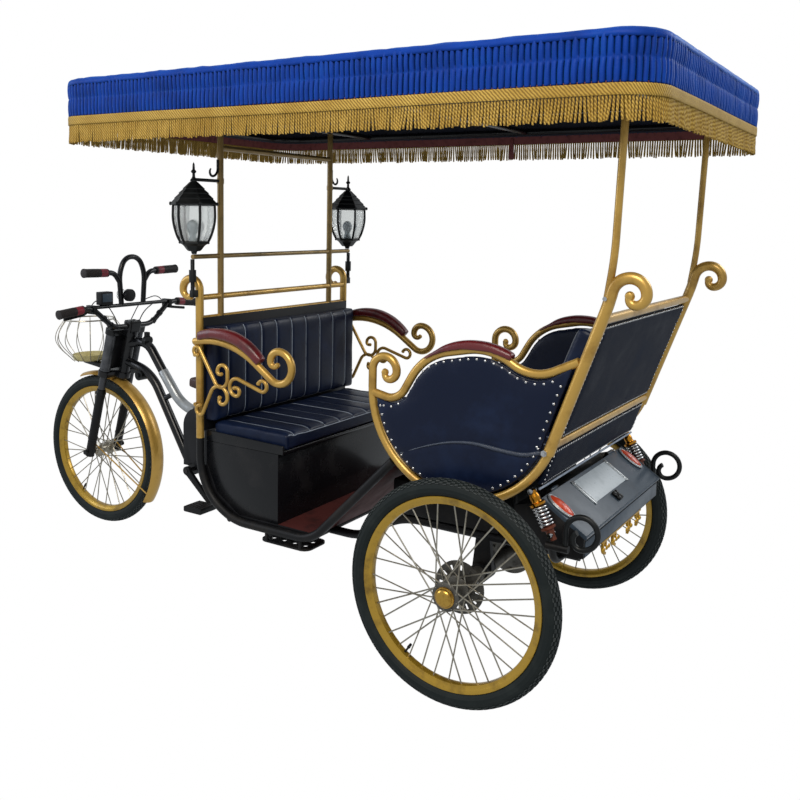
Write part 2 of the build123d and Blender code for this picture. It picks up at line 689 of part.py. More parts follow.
bench_back_edge = -680.0
board_thick = 12.0
lip_top = 636.0
with BuildPart() as bench_board:
    block(side(0), [(-1031 + clear_rail, bench_board_low + seat), (bench_back_edge, bench_board_low + seat),
                    (bench_back_edge, bench_board_low + board_thick),
                    (-1031 + clear_rail, bench_board_low + board_thick)], -box_half, box_half)
    for hand in (-1, 1):
        block(side(0), [(-1031 + clear_rail, bench_board_low + seat),
                        (bench_back_edge, bench_board_low + seat), (bench_back_edge, lip_top - 8),
                        (-1031 + clear_rail, lip_top)],
              min(hand * box_half, hand * (box_half - 8)), max(hand * box_half, hand * (box_half - 8)))
keep(bench_board, "bench_board")

bench_seat_top = 664.0
cushion_half = box_half - 8 - seat
with BuildPart() as bench_cushion:
    cushion_low = bench_board_low + board_thick + seat
    block(side(0), [(-1000, cushion_low), (-672, cushion_low), (-672, bench_seat_top),
                    (-1000, bench_seat_top + 2)], -cushion_half, cushion_half)
    fillet(bench_cushion.edges().group_by(Axis.Z)[-1], 12)
keep(bench_cushion, "bench_cushion")

back_front, back_rear = -968.0, -1031.0 + post_tube + seat
back_top = 1005.0
with BuildPart() as bench_backrest:
    block(side(0), [(back_front, bench_seat_top + 4), (back_front, back_top), (back_rear, back_top),
                    (back_rear, bench_seat_top + 4)], -side_y, side_y)
    fillet(bench_backrest.faces().sort_by(Axis.X)[-1].edges(), 14)
keep(bench_backrest, "bench_backrest")

canopy_post_y = 321.0
low_rail, mid_rail, lantern_rail, high_rail = 1022.0, 1095.0, 1234.0, 1602.0
curl_start = 1120.0
lantern_y = 450.0
with BuildPart() as bench_frame:
    for hand in (-1, 1):
        wrought(side(hand * side_y, bench_x), (0, rail_top + seat), 90,
                [(curl_start - rail_top - seat, 0), (38, 180), (26, 110)], post_tube)
        rod((bench_x, hand * canopy_post_y, low_rail), (bench_x, hand * canopy_post_y,
                                                       crossbar_z - canopy_tube - seat), 11)
    for rail_height, rail_half, rail_radius in ((low_rail, side_y, 11), (mid_rail, side_y, 10),
                                                (lantern_rail, lantern_y, 8), (high_rail, canopy_post_y, 9)):
        rod((bench_x, -rail_half, rail_height), (bench_x, rail_half, rail_height), rail_radius)
    rod((bench_x, -side_y, bench_seat_top + 30), (bench_x, side_y, bench_seat_top + 30), 10)
keep(bench_frame, "bench_frame")

# Bench arms: a swept tube with a curled end, and wrought scrolls that fill the corner below it
arm_y_bench = side_y + post_tube + gold_tube + seat
arm_start, arm_heading = (-14.0, 945.0), 10.0
arm_runs = [(40, 0), (330, -45), (78, 0), (52, 215), (34, 90), (16, 140)]
scroll_shift = (27.0, 6.0)
scroll_bar = 6.0
# Scrolls: start beside the bench frame, height, heading, runs of (radius, turn)
scrolls = [
    (15.8, 901.9, 192.5, [(15, -250), (127, 0), (30, 147.5), (24, 0), (22, 180), (11, 120)]),
    (282.3, 835.4, 63.0, [(18, -260), (100, 0), (30, 107), (28, 90), (14, 210)]),
    (26.3, 731.0, 173.8, [(16, 250), (85, 0), (40, -63.8), (36, -90), (24, -90), (13, -130)]),
]
with BuildPart() as bench_arms:
    for hand in (-1, 1):
        arm_plane = side(hand * arm_y_bench, bench_x)
        wrought(arm_plane, arm_start, arm_heading, arm_runs, gold_tube)
        for along, height, heading, runs in scrolls:
            wrought(arm_plane, (along + scroll_shift[0], height + scroll_shift[1]), heading, runs,
                    scroll_bar, square=True)
keep(bench_arms, "bench_arms")

with BuildPart() as bench_arm_pads:
    for hand in (-1, 1):
        with BuildSketch(side(hand * arm_y_bench, bench_x).offset(-19)) as pad_outline:
            with BuildLine():
                over = ThreePointArc((20, 985), (175, 996), (305, 918))
                under = ThreePointArc((22, 952), (150, 958), (285, 892))
                Line(over @ 0, under @ 0)
                Line(over @ 1, under @ 1)
            make_face()
        extrude(pad_outline.sketch, amount=38)
        wrought(side(hand * arm_y_bench, bench_x), arm_start, arm_heading, arm_runs[:3], gold_tube + seat,
                mode=Mode.SUBTRACT)
keep(bench_arm_pads, "bench_arm_pads")

# Rear seat side frames: the round trough tube with its front curl, the arm rail and the upright with its curl
arm_rail_route = [(-327, 857), (-235, 838), (-150, 985), (60, 1027), (190, 950), (318, 1012)]
trough_runs = [(tub_radius, -66), (tub_radius, -90), (52, 0), (42, -180), (26, -90), (15, -110)]
upright_runs = [(upright_length, 0), (500, 6), (10, 0), (48, 13 - 90), (42, -90), (27, -90), (17, -110)]
with BuildPart() as side_frames:
    for hand in (-1, 1):
        wrought(side(hand * side_y), tub_start, tub_heading, trough_runs, gold_tube)
        tube(side(hand * side_y), arm_rail_route, gold_tube)
        wrought(side(hand * side_y), tub_start, 90 - recline, upright_runs, upright_tube)
keep(side_frames, "side_frames")


def up_back(along, ahead=0.0):
    """A point up the leaning back, and ahead of it."""
    lean = radians(90 - recline)
    return (tub_start[0] + along * cos(lean) - ahead * sin(lean),
            tub_start[1] + along * sin(lean) + ahead * cos(lean))


def back_plane(along):
    """A plane square to the leaning back, its first axis to the right side."""
    point = up_back(along)
    return Plane(origin=(rear_axle_x + point[0], 0, point[1]), x_dir=(0, 1, 0),
                 z_dir=(cos(radians(90 - recline)), 0, sin(radians(90 - recline))))


back_inner_half = side_y - upright_tube - seat
top_rail_along, bottom_rail_along = 396.0, 26.0
lower_edge_along = -108.0
with BuildPart() as back_rails:
    for along in (top_rail_along, bottom_rail_along):
        point = up_back(along)
        rod((rear_axle_x + point[0], -back_inner_half, point[1]),
            (rear_axle_x + point[0], back_inner_half, point[1]), gold_tube)
keep(back_rails, "back_rails")

panel_thick = 14.0
panel_gap = gold_tube + seat
with BuildPart() as back_panels:
    for low, high, half in ((bottom_rail_along + panel_gap, top_rail_along - panel_gap, back_inner_half),
                            (lower_edge_along, bottom_rail_along - panel_gap, back_inner_half)):
        with BuildSketch(back_plane(low)) as panel_section:
            Rectangle(2 * half, panel_thick)
        extrude(panel_section.sketch, amount=high - low)
keep(back_panels, "back_panels")

# Padded side panels between the trough tube, the arm rail and the upright
with BuildPart() as side_panels:
    for hand in (-1, 1):
        with BuildSketch(side(hand * side_y).offset(-10)) as panel_outline:
            with BuildLine():
                ahead = (cos(radians(tub_heading)), sin(radians(tub_heading)))
                lower = JernArc(tub_start, ahead, tub_radius, -150)
                rise = Line(lower @ 1, arm_rail_route[0])
                rail = FilletPolyline(*arm_rail_route, radius=bends(arm_rail_route))
                Line(rail @ 1, tub_start)
            make_face()
        extrude(panel_outline.sketch, amount=20)
        wrought(side(hand * side_y), tub_start, tub_heading, trough_runs, gold_tube + seat,
                mode=Mode.SUBTRACT)
        tube(side(hand * side_y), arm_rail_route, gold_tube + seat, mode=Mode.SUBTRACT)
        wrought(side(hand * side_y), tub_start, 90 - recline, upright_runs[:1], upright_tube + seat,
                mode=Mode.SUBTRACT)
keep(side_panels, "side_panels")

with BuildPart() as rear_arm_pads:
    for hand in (-1, 1):
        with BuildSketch(side(hand * side_y).offset(-20)) as pad_outline:
            with BuildLine():
                over = ThreePointArc((-152, 974), (0, 1042), (136, 1014))
                under = ThreePointArc((-138, 970), (0, 1011), (128, 993))
                Line(over @ 0, under @ 0)
                Line(over @ 1, under @ 1)
            make_face()
        extrude(pad_outline.sketch, amount=40)
        tube(side(hand * side_y), arm_rail_route, gold_tube + seat, mode=Mode.SUBTRACT)
keep(rear_arm_pads, "rear_arm_pads")

# Tub skin between the trough tubes, seat cushion in the trough and leaning back cushion
tub_half = side_y - gold_tube - seat
with BuildPart() as seat_pan:
    with BuildSketch(side(0).offset(-tub_half)) as pan_outline:
        with BuildLine():
            skin_outer = CenterArc(tub_centre, tub_radius, 224, 99.5)
            skin_inner = CenterArc(tub_centre, tub_radius - tub_skin, 224, 99.5)
            Line(skin_outer @ 0, skin_inner @ 0)
            Line(skin_outer @ 1, skin_inner @ 1)
        make_face()
    extrude(amount=2 * tub_half)
keep(seat_pan, "seat_pan")

cushion_top = 668.0
rear_cushion_half = side_y - gold_tube - 2
with BuildPart() as rear_cushion:
    with BuildSketch(side(0).offset(-rear_cushion_half)) as cushion_outline:
        with BuildLine():
            bowl = CenterArc(tub_centre, tub_radius - tub_skin - seat, 228, 84)
            Line(bowl @ 0, bowl @ 1)
        make_face()
    extrude(amount=2 * rear_cushion_half)
keep(rear_cushion, "rear_cushion")

with BuildPart() as rear_backrest:
    foot = up_back(34, panel_thick / 2 + seat)
    head = up_back(350, panel_thick / 2 + seat)
    head_front = up_back(350, 62)
    foot_front = up_back(34, 76)
    block(side(0), [foot, head, head_front, foot_front], -rear_cushion_half + 10, rear_cushion_half - 10, 8)
keep(rear_backrest, "rear_backrest")

# Rear canopy posts, from the uprights up to the canopy frame
rear_post_route = [(383, 1180), (398, 1290), (410, crossbar_z - canopy_tube - seat)]
with BuildPart() as rear_posts:
    for hand in (-1, 1):
        tube(side(hand * side_y), rear_post_route, 10)
        wrought(side(hand * side_y), tub_start, 90 - recline, upright_runs, upright_tube + seat,
                mode=Mode.SUBTRACT)
keep(rear_posts, "rear_posts")

# Canopy frame: a ring inside the valance and crossbars over the posts
ring_half_y = canopy_width / 2 - canopy_wall - seat - canopy_tube
ring_half_x = canopy_length / 2 - canopy_wall - seat - canopy_tube
rear_post_x = rear_axle_x + 410.0
with BuildPart() as canopy_frame:
    ring_corner = canopy_corner - canopy_wall - seat - canopy_tube
    with BuildSketch(Plane.XY.offset(crossbar_z)) as ring_plan:
        with Locations((canopy_centre_x, 0)):
            RectangleRounded(2 * ring_half_x, 2 * ring_half_y, ring_corner)
    ring = ring_plan.sketch.faces()[0].outer_wire()
    with BuildSketch(Plane(origin=ring @ 0, z_dir=ring % 0)) as ring_section:
        Circle(canopy_tube)
    sweep(sections=ring_section.sketch, path=ring)
    for cross_x in (bench_x, (bench_x + rear_post_x) / 2, rear_post_x):
        rod((cross_x, -ring_half_y, crossbar_z), (cross_x, ring_half_y, crossbar_z), canopy_tube)
    rod((canopy_centre_x - ring_half_x, 0, crossbar_z), (canopy_centre_x + ring_half_x, 0, crossbar_z),
        canopy_tube)
keep(canopy_frame, "canopy_frame")

# Canopy: a valance wall under a low hipped crown, hollow below
crown_rise = canopy_top - valance_top
crown_inset = 300.0


def canopy_stage(height, shrink):
    with BuildSketch(Plane.XY.offset(height)) as stage:
        with Locations((canopy_centre_x, 0)):
            RectangleRounded(canopy_length - 2 * shrink, canopy_width - 2 * shrink,
                             max(canopy_corner - shrink, 20))
    return stage.sketch


with BuildPart() as canopy:
    extrude(canopy_stage(canopy_bottom, 0), amount=valance_top - canopy_bottom)
    loft([canopy_stage(valance_top, 0), canopy_stage(canopy_top, crown_inset)], ruled=True)
    extrude(canopy_stage(canopy_bottom, canopy_wall), amount=valance_top - canopy_wall - canopy_bottom,
            mode=Mode.SUBTRACT)
    loft([canopy_stage(valance_top - canopy_wall, canopy_wall),
          canopy_stage(canopy_top - canopy_wall, crown_inset)], ruled=True, mode=Mode.SUBTRACT)
keep(canopy, "canopy")

fringe_thick = 5.0
with BuildPart() as canopy_fringe:
    extrude(canopy_stage(fringe_bottom, 0), amount=canopy_bottom - seat - fringe_bottom)
    extrude(canopy_stage(fringe_bottom, fringe_thick), amount=canopy_bottom - seat - fringe_bottom,
            mode=Mode.SUBTRACT)
keep(canopy_fringe, "canopy_fringe")

# Lanterns: six-sided, on stems beside the bench frame, steadied from the canopy posts
lantern_eave_z, lantern_glass_top, lantern_glass_low = 1410.0, 1404.0, 1282.0


def hexagon(y, height, across):
    with BuildSketch(Plane.XY.offset(height)) as stage:
        with Locations((bench_x, y)):
            RegularPolygon(across / 2, 6, rotation=30)
    return stage.sketch


stem_y = lantern_y + 8
with BuildPart() as lanterns:
    for hand in (-1, 1):
        y = hand * lantern_y
        loft([hexagon(y, lantern_glass_top, 190), hexagon(y, lantern_eave_z, 205)], ruled=True)
        loft([hexagon(y, lantern_eave_z, 205), hexagon(y, 1470, 60)], ruled=True)
        loft([hexagon(y, lantern_glass_low, 134), hexagon(y, 1274, 134)], ruled=True)
        loft([hexagon(y, 1274, 80), hexagon(y, 1252, 46)], ruled=True)
        rod((bench_x, y, 1465), (bench_x, y, 1536), 5)
        with BuildSketch(Plane(origin=(bench_x, y, 1480), x_dir=(0, 0, 1), z_dir=(0, 1, 0))) as knob:
            with BuildLine():
                Polyline((-14, 0), (-14, 22), (-2, 26), (6, 12), (24, 8), (30, 14), (40, 10), (68, 0),
                         close=True)
            make_face()
        revolve(knob.sketch, axis=Axis((bench_x, y, 0), (0, 0, 1)))
        for corner in range(6):
            way = radians(30 + 60 * corner)
            high = (bench_x + 91 * cos(way), y + 91 * sin(way), lantern_glass_top)
            low = (bench_x + 64 * cos(way), y + 64 * sin(way), lantern_glass_low)
            rod(low, high, 4)
        rod((bench_x, y, 1256), (bench_x, y, lantern_rail + 8 + seat), 8)
        rod((bench_x, hand * (canopy_post_y + 11 + seat), 1490), (bench_x, y, 1490), 6)
keep(lanterns, "lanterns")

with BuildPart() as lantern_brackets:
    for hand in (-1, 1):
        rod((bench_x, hand * stem_y, 1112), (bench_x, hand * stem_y, lantern_rail - 8 - seat), 7)
        rod((bench_x, hand * stem_y, 1150), (bench_x, hand * stem_y, 1190), 12)
        post_face = hand * (side_y + post_tube + seat)
        block(front(bench_x), [(post_face, 1098), (hand * (stem_y + 7), 1098), (hand * (stem_y + 7), 1122),
                               (post_face, 1122)], -7, 7)
    for hand in (-1, 1):
        wrought(side(hand * side_y, bench_x), (0, rail_top + seat), 90,
                [(curl_start - rail_top - seat, 0), (38, 180)], post_tube + seat, mode=Mode.SUBTRACT)
        rod((bench_x, -lantern_y, lantern_rail), (bench_x, lantern_y, lantern_rail), 8 + seat,
            mode=Mode.SUBTRACT)
keep(lantern_brackets, "lantern_brackets")

with BuildPart() as lantern_glass:
    for hand in (-1, 1):
        y = hand * lantern_y
        loft([hexagon(y, lantern_glass_low + seat, 118), hexagon(y, lantern_glass_top - seat, 172)],
             ruled=True)
        loft([hexagon(y, lantern_glass_low + seat, 112), hexagon(y, lantern_glass_top - seat, 166)],
             ruled=True, mode=Mode.SUBTRACT)
keep(lantern_glass, "lantern_glass")

# Shocks between the tub and the rear brackets
with BuildPart() as shocks:
    for hand in (-1, 1):
        run = Vector(shock_head[0] - shock_foot[0], shock_head[1] - shock_foot[1])
        reach = run.length
        shock_plane = Plane(origin=(rear_axle_x + shock_foot[0], hand * bracket_y, shock_foot[1]),
                            x_dir=(run.X, 0, run.Y), z_dir=(0, -hand, 0))
        upright = run.Y / reach
        across = -run.X / reach
        eye = (shock_foot[1] - bracket_z - bracket_radius - seat - 9 * across) / upright
        profile = [(-eye, 0), (-eye, 9), (6, 9), (8, 20)]
        for coil in range(7):
            start = 10 + coil * 11
            profile += [(start, 16), (start + 3, 20), (start + 7, 20), (start + 10, 16)]
        profile += [(90, 24), (100, 24), (104, 13), (reach + 12, 13), (reach + 12, 0)]
        turned(shock_plane, profile)
        wrought(side(hand * side_y), tub_start, tub_heading, trough_runs[:1], gold_tube + seat,
                mode=Mode.SUBTRACT)
keep(shocks, "shocks")

# Rear box, its hinged lid, lamps, plate and latch
lean = radians(lid_slope)


def down_lid(along, above=0.0):
    """A point down the lid from its hinge, and above the lid's underside."""
    return (lid_hinge[0] + along * cos(lean) + above * sin(lean),
            lid_hinge[1] - along * sin(lean) + above * cos(lean))


box_low = rear_rail_z + chassis_tube + seat
box_front = 120.0
box_back = down_lid(lid_length - 6)[0]
box_outline = [(box_front, box_low), (box_back, box_low), down_lid(lid_length - 6, -seat), down_lid(6, -seat),
               (box_front, 570)]
box_hollow = [(box_front + sheet, box_low + sheet), (box_back - sheet, box_low + sheet),
              down_lid(lid_length - 12, 6), down_lid(14, 6), (box_front + sheet, 566)]
barrel_radius = 6.5
barrel_at = down_lid(-6, 3)
barrel_half = 20.0
ear_thick = 8.0
hinge_y = 250.0


def hinge_cylinder(y, half, radius, mode=Mode.ADD):
    rod((rear_axle_x + barrel_at[0], y - half, barrel_at[1]),
        (rear_axle_x + barrel_at[0], y + half, barrel_at[1]), radius, mode=mode)


with BuildPart() as rear_box:
    block(side(0), box_outline, -box_width / 2, box_width / 2)
    block(side(0), box_hollow, -box_width / 2 + sheet, box_width / 2 - sheet, mode=Mode.SUBTRACT)
    for hand in (-1, 1):
        for end in (-1, 1):
            ear_y = hand * hinge_y + end * (barrel_half + fit + ear_thick / 2)
            hinge_cylinder(ear_y, ear_thick / 2, barrel_radius)
            block(side(ear_y), [(barrel_at[0] - barrel_radius, barrel_at[1]), (barrel_at[0] - 16, 580),
                                (barrel_at[0], 586), (barrel_at[0] + 2, barrel_at[1] - 4)],
                  -ear_thick / 2, ear_thick / 2)
        hinge_cylinder(hand * hinge_y, barrel_half + ear_thick, hinge_pin_radius)
keep(rear_box, "rear_box")

with BuildPart() as rear_lid:
    block(side(0), [down_lid(0), down_lid(lid_length), down_lid(lid_length, lid_thickness),
                    down_lid(0, lid_thickness)], -box_width / 2, box_width / 2)
    for hand in (-1, 1):
        hinge_cylinder(hand * hinge_y, barrel_half + ear_thick + 2, barrel_radius + seat, Mode.SUBTRACT)
        hinge_cylinder(hand * hinge_y, barrel_half, barrel_radius)
        block(side(hand * hinge_y), [down_lid(-4, 0), down_lid(4, 0), down_lid(4, 6), down_lid(-4, 6)],
              -barrel_half, barrel_half)
        hinge_cylinder(hand * hinge_y, barrel_half + 1, hinge_pin_radius + fit, Mode.SUBTRACT)
keep(rear_lid, "rear_lid")


def lid_plane(along, y, above=lid_thickness):
    """A plane on the lid's face: its first axis to the right side, its second axis up the slope."""
    point = down_lid(along, above)
    return Plane(origin=(rear_axle_x + point[0], y, point[1]), x_dir=(0, 1, 0),
                 z_dir=(sin(lean), 0, cos(lean)))


with BuildPart() as rear_lamps:
    for hand in (-1, 1):
        with BuildSketch(lid_plane(52, hand * 316, lid_thickness + seat)) as lamp:
            Ellipse(26, 48)
        extrude(lamp.sketch, amount=12)
keep(rear_lamps, "rear_lamps")

with BuildPart() as number_plate:
    with BuildSketch(lid_plane(56, 5, lid_thickness + seat)) as plate:
        RectangleRounded(310, 88, 6)
    extrude(plate.sketch, amount=2)
keep(number_plate, "number_plate")

with BuildPart() as latch:
    with BuildSketch(lid_plane(122, 0, lid_thickness + seat)) as petals:
        with PolarLocations(11, 4, 45):
            Circle(9)
        Circle(7)
    extrude(petals.sketch, amount=8)
keep(latch, "latch")

with BuildPart() as rear_scrolls:
    for hand in (-1, 1):
        wrought(side(hand * bracket_y), (296, bracket_z + bracket_radius + seat), 90,
                [(40, 0), (46, -90), (44, -90), (46, -90), (24, -150)], 8)
keep(rear_scrolls, "rear_scrolls")

trim_x = box_back - 6
trim_top = box_low - seat
with BuildPart() as box_trim:
    for hand in (-1, 1):
        for place in (60, 150):
            wrought(front(rear_axle_x + trim_x), (hand * place, trim_top - 46), 90 - hand * 90,
                    [(24, hand * 100), (14, hand * 110), (9, hand * 120)], 4, square=True)
    with BuildSketch(front(rear_axle_x + trim_x - 4)) as trim_bar:
        with Locations((0, trim_top - 4)):
            Rectangle(380, 8)
    extrude(trim_bar.sketch, amount=8)
keep(box_trim, "box_trim")
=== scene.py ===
import random
from math import atan2, cos, hypot, pi, radians, sin, tan

import bmesh
import bpy
from mathutils import Matrix, Vector, noise
from mathutils.bvhtree import BVHTree


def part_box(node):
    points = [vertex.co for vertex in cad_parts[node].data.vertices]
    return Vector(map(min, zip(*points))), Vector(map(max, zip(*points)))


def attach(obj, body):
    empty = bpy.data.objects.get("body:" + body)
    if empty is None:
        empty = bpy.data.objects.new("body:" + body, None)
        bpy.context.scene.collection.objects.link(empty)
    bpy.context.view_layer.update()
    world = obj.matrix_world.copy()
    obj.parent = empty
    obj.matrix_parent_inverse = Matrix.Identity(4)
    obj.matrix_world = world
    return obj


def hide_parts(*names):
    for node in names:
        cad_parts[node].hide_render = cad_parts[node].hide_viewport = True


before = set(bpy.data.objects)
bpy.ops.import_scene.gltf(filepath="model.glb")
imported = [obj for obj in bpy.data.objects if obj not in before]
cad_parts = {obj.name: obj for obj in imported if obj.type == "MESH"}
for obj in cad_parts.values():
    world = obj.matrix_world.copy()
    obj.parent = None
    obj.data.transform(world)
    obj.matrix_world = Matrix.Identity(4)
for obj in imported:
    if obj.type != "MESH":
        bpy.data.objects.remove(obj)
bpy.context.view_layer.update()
scene = bpy.context.scene
print("frame loaded")

# Where things stand, in millimetres: side views run back from the rear axle, front views from the middle
stance = {
    "frontAxle": -1119.0, "rearAxle": 904.0, "bench": -127.0, "crank": -532.0,
    "axleHeight": 330.0, "track": 1012.0, "sideY": 425.0, "rake": 15.4,
}
hands = (("Left", -1), ("Right", 1))
upward = Vector((0, 0, 1))


def sidePoint(along, y, up, origin="rearAxle"):
    return Vector((stance[origin] + along, y, up))


def benchPoint(y, up):
    return sidePoint(0, y, up, "bench")


def forkPoint(along, behind=0.0, y=0.0):
    lean = radians(stance["rake"])
    return Vector((stance["frontAxle"] + along * sin(lean) + behind * cos(lean), y,
                   stance["axleHeight"] + along * cos(lean) - behind * sin(lean)))


def sideways(y):
    return Vector((0, y, 0))


# Finishes

finish, slotOf = {}, {}
shaderWords = {"metal": "Metallic", "coat": "Coat Weight", "haze": "Coat Roughness",
               "shine": "Specular IOR Level", "sheen": "Sheen Weight"}


def hexColour(code):
    parts = [int(code[i:i + 2], 16) / 255 for i in (1, 3, 5)]
    return tuple(c / 12.92 if c <= 0.04045 else ((c + 0.055) / 1.055) ** 2.4 for c in parts) + (1.0,)


def setInputs(tree, node, inputs):
    for key, value in inputs.items():
        if isinstance(value, bpy.types.NodeSocket):
            tree.links.new(value, node.inputs[key])
        else:
            node.inputs[key].default_value = value


def addNode(tree, kind, inputs=None, **settings):
    node = tree.nodes.new(kind)
    for key, value in settings.items():
        setattr(node, key, value)
    setInputs(tree, node, inputs or {})
    return node


def rampOf(tree, factor, stops):
    ramp = addNode(tree, "ShaderNodeValToRGB", {0: factor})
    first, last = ramp.color_ramp.elements
    first.position, first.color = stops[0][0], hexColour(stops[0][1])
    last.position, last.color = stops[-1][0], hexColour(stops[-1][1])
    for place, code in stops[1:-1]:
        ramp.color_ramp.elements.new(place).color = hexColour(code)
    return ramp.outputs[0]


def noiseOf(tree, place, scale, detail, **inputs):
    inputs = {"Vector": place, "Scale": scale, "Detail": detail, **inputs}
    return addNode(tree, "ShaderNodeTexNoise", inputs).outputs[0]


def bumpOf(tree, height, strength, distance):
    return addNode(tree, "ShaderNodeBump",
                   {"Height": height, "Strength": strength, "Distance": distance}).outputs[0]


def newMaterial(name, slot):
    material = bpy.data.materials.new(name)
    material.use_nodes = True
    finish[name], slotOf[name] = material, slot
    tree = material.node_tree
    return tree, tree.nodes["Principled BSDF"], addNode(tree, "ShaderNodeTexCoord").outputs["Object"]


def makeFinish(name, slot, base, second, patch, grain, low, high, depth, **words):
    # a base colour that drifts to a second one in patches, uneven gloss from low to high roughness,
    # and a relief of the given depth; patch and grain in millimetres
    tree, shader, place = newMaterial(name, slot)
    patches = noiseOf(tree, place, 1000 / patch, 5.0, Roughness=0.62)
    gloss = addNode(tree, "ShaderNodeMapRange", {0: patches, 1: 0.3, 2: 0.72, 3: low, 4: high})
    if name.endswith("Leather"):
        pebbles = addNode(tree, "ShaderNodeTexVoronoi", {"Vector": place, "Scale": 1000 / grain},
                          feature="DISTANCE_TO_EDGE")
        relief = addNode(tree, "ShaderNodeMapRange", {0: pebbles.outputs[0], 1: 0.0, 2: 0.16}).outputs[0]
    else:
        relief = noiseOf(tree, place, 1000 / grain, 4.0)
    setInputs(tree, shader, {
        "Base Color": rampOf(tree, patches, [(0.3, base), (0.5, base), (0.72, second)]),
        "Roughness": gloss.outputs[0], "Normal": bumpOf(tree, relief, depth, grain / 4000),
        **{shaderWords[word]: value for word, value in words.items()}})


# tyre rubber: dull charcoal with a green cast and dusty patches
makeFinish("tyreRubber", "tyre_rubber", "#141B1B", "#222827", 90, 1.6, 0.55, 0.75, 0.25, shine=0.22)
# worn tread rubber: paler where road dust stays
makeFinish("treadRubber", "tyre_rubber", "#3C4142", "#5E615E", 14, 1.8, 0.7, 0.9, 0.4)
# antique gold lacquer over steel tube, brown in the hollows
makeFinish("goldLacquer", "gold_paint", "#C39B49", "#8F6A26", 120, 2.2, 0.26, 0.46, 0.12, metal=0.55,
           coat=0.35, haze=0.18)
# gold lacquered rim: deeper and glossier, with brake dust
makeFinish("goldRim", "gold_rim", "#B38E2C", "#7E6119", 60, 1.4, 0.22, 0.42, 0.08, metal=0.6, coat=0.4,
           haze=0.15)
# polished brass cap with fine scratches
makeFinish("brassCap", "gold_rim", "#C9A04C", "#8C6428", 22, 0.9, 0.14, 0.34, 0.1, metal=1.0)
# the lacquer of the canopy posts, browned by weather
makeFinish("bronzeLacquer", "gold_paint", "#8F7440", "#62501F", 90, 2.0, 0.28, 0.46, 0.12, metal=0.5,
           coat=0.25)
# copper-brown primer and rust low on the shocks
makeFinish("rustedSteel", "steel", "#6E3A28", "#4A2A20", 12, 1.6, 0.35, 0.6, 0.3, metal=0.5)
# black gloss enamel on steel, softly dusty
makeFinish("blackEnamel", "black_paint", "#0C0D10", "#1B1A1B", 110, 2.5, 0.16, 0.36, 0.05, coat=0.16,
           haze=0.1, shine=0.3)
# dusty black paint low on the vehicle
makeFinish("chassisPaint", "black_paint", "#0D0D0F", "#211E1B", 70, 2.0, 0.35, 0.62, 0.15, shine=0.25)
# black cast iron: fine sand texture
makeFinish("castBlack", "black_paint", "#0B0D0E", "#171A1A", 40, 1.5, 0.3, 0.5, 0.35, shine=0.3)
# moulded black ABS: even fine grain
makeFinish("blackAbs", "black_plastic", "#0D0D10", "#17171A", 80, 1.2, 0.38, 0.52, 0.2, shine=0.25)
# black rubber of grips and pedals
makeFinish("gripRubber", "grip_rubber", "#17100F", "#241A18", 40, 1.4, 0.55, 0.7, 0.3)
# red moulded band at the grips' inner ends
makeFinish("gripBand", "grip_rubber", "#7A1426", "#4D0C18", 18, 1.2, 0.35, 0.5, 0.15)
# zinc-plated steel of spokes and wires, dulled
makeFinish("spokeSteel", "steel", "#A9A497", "#7C7364", 50, 1.0, 0.25, 0.45, 0.05, metal=0.9)
# chrome plate: nearly a mirror
makeFinish("chromePlate", "chrome", "#C9CACB", "#A3A3A2", 30, 1.0, 0.08, 0.2, 0.03, metal=1.0)
# gold anodised aluminium of the shock bodies
makeFinish("goldAnodised", "gold_rim", "#C98A2C", "#9B6418", 26, 0.9, 0.18, 0.3, 0.05, metal=1.0)
# sand-cast aluminium of motor and brakes, grey with grime
makeFinish("castAluminium", "steel", "#5C5A55", "#37342F", 28, 1.6, 0.4, 0.65, 0.35, metal=0.7)
# silver-grey painted tube
makeFinish("silverPaint", "silver_sleeve", "#A2A6A8", "#85898A", 60, 1.2, 0.25, 0.42, 0.08, metal=0.6,
           coat=0.3)
# grey paint of the fork's shrouds and stanchions
makeFinish("forkGrey", "black_paint", "#3E4044", "#5B5C60", 60, 1.2, 0.22, 0.4, 0.08, metal=0.4)
# coated navy leather: fine pebble, soft sheen
makeFinish("navyLeather", "navy_leather", "#09132A", "#12203C", 160, 3.2, 0.26, 0.44, 0.16, coat=0.06,
           haze=0.25, shine=0.2)
# the same leather along the seam's fold: glossier, and painted paler as a highlight
makeFinish("foldHighlightLeather", "navy_leather", "#2C3444", "#1A2233", 30, 3.2, 0.16, 0.34, 0.3, coat=0.5, haze=0.2)
# the back panels' leather, dulled by weather
makeFinish("backLeather", "navy_leather", "#0C1424", "#182130", 120, 3.2, 0.55, 0.72, 0.2, shine=0.1)
# pale piping cord of the seams
makeFinish("palePiping", "navy_leather", "#8E99A8", "#5F6B80", 20, 1.6, 0.45, 0.6, 0.2)
# waxed burgundy leather of the arm pads
makeFinish("burgundyLeather", "burgundy_leather", "#5E1519", "#380B0E", 70, 2.8, 0.24, 0.42, 0.18, coat=0.3,
           haze=0.2)
# brown saddle leather
makeFinish("saddleLeather", "brown_leather", "#3A2018", "#22130F", 50, 2.6, 0.35, 0.55, 0.22)
# red-brown painted fibre board, scuffed
makeFinish("floorBoard", None, "#43201E", "#2A1616", 90, 3.0, 0.5, 0.72, 0.3, shine=0.1)
# slate blue-grey enamel of the rear lid
makeFinish("slateEnamel", "slate_paint", "#3C4854", "#303A44", 120, 2.2, 0.26, 0.42, 0.08, coat=0.04,
           haze=0.15, shine=0.2)
# white stove enamel of plate and bulbs
makeFinish("plateWhite", "lamp_lens", "#B9C2C8", "#A1ABB1", 40, 1.6, 0.25, 0.4, 0.08)
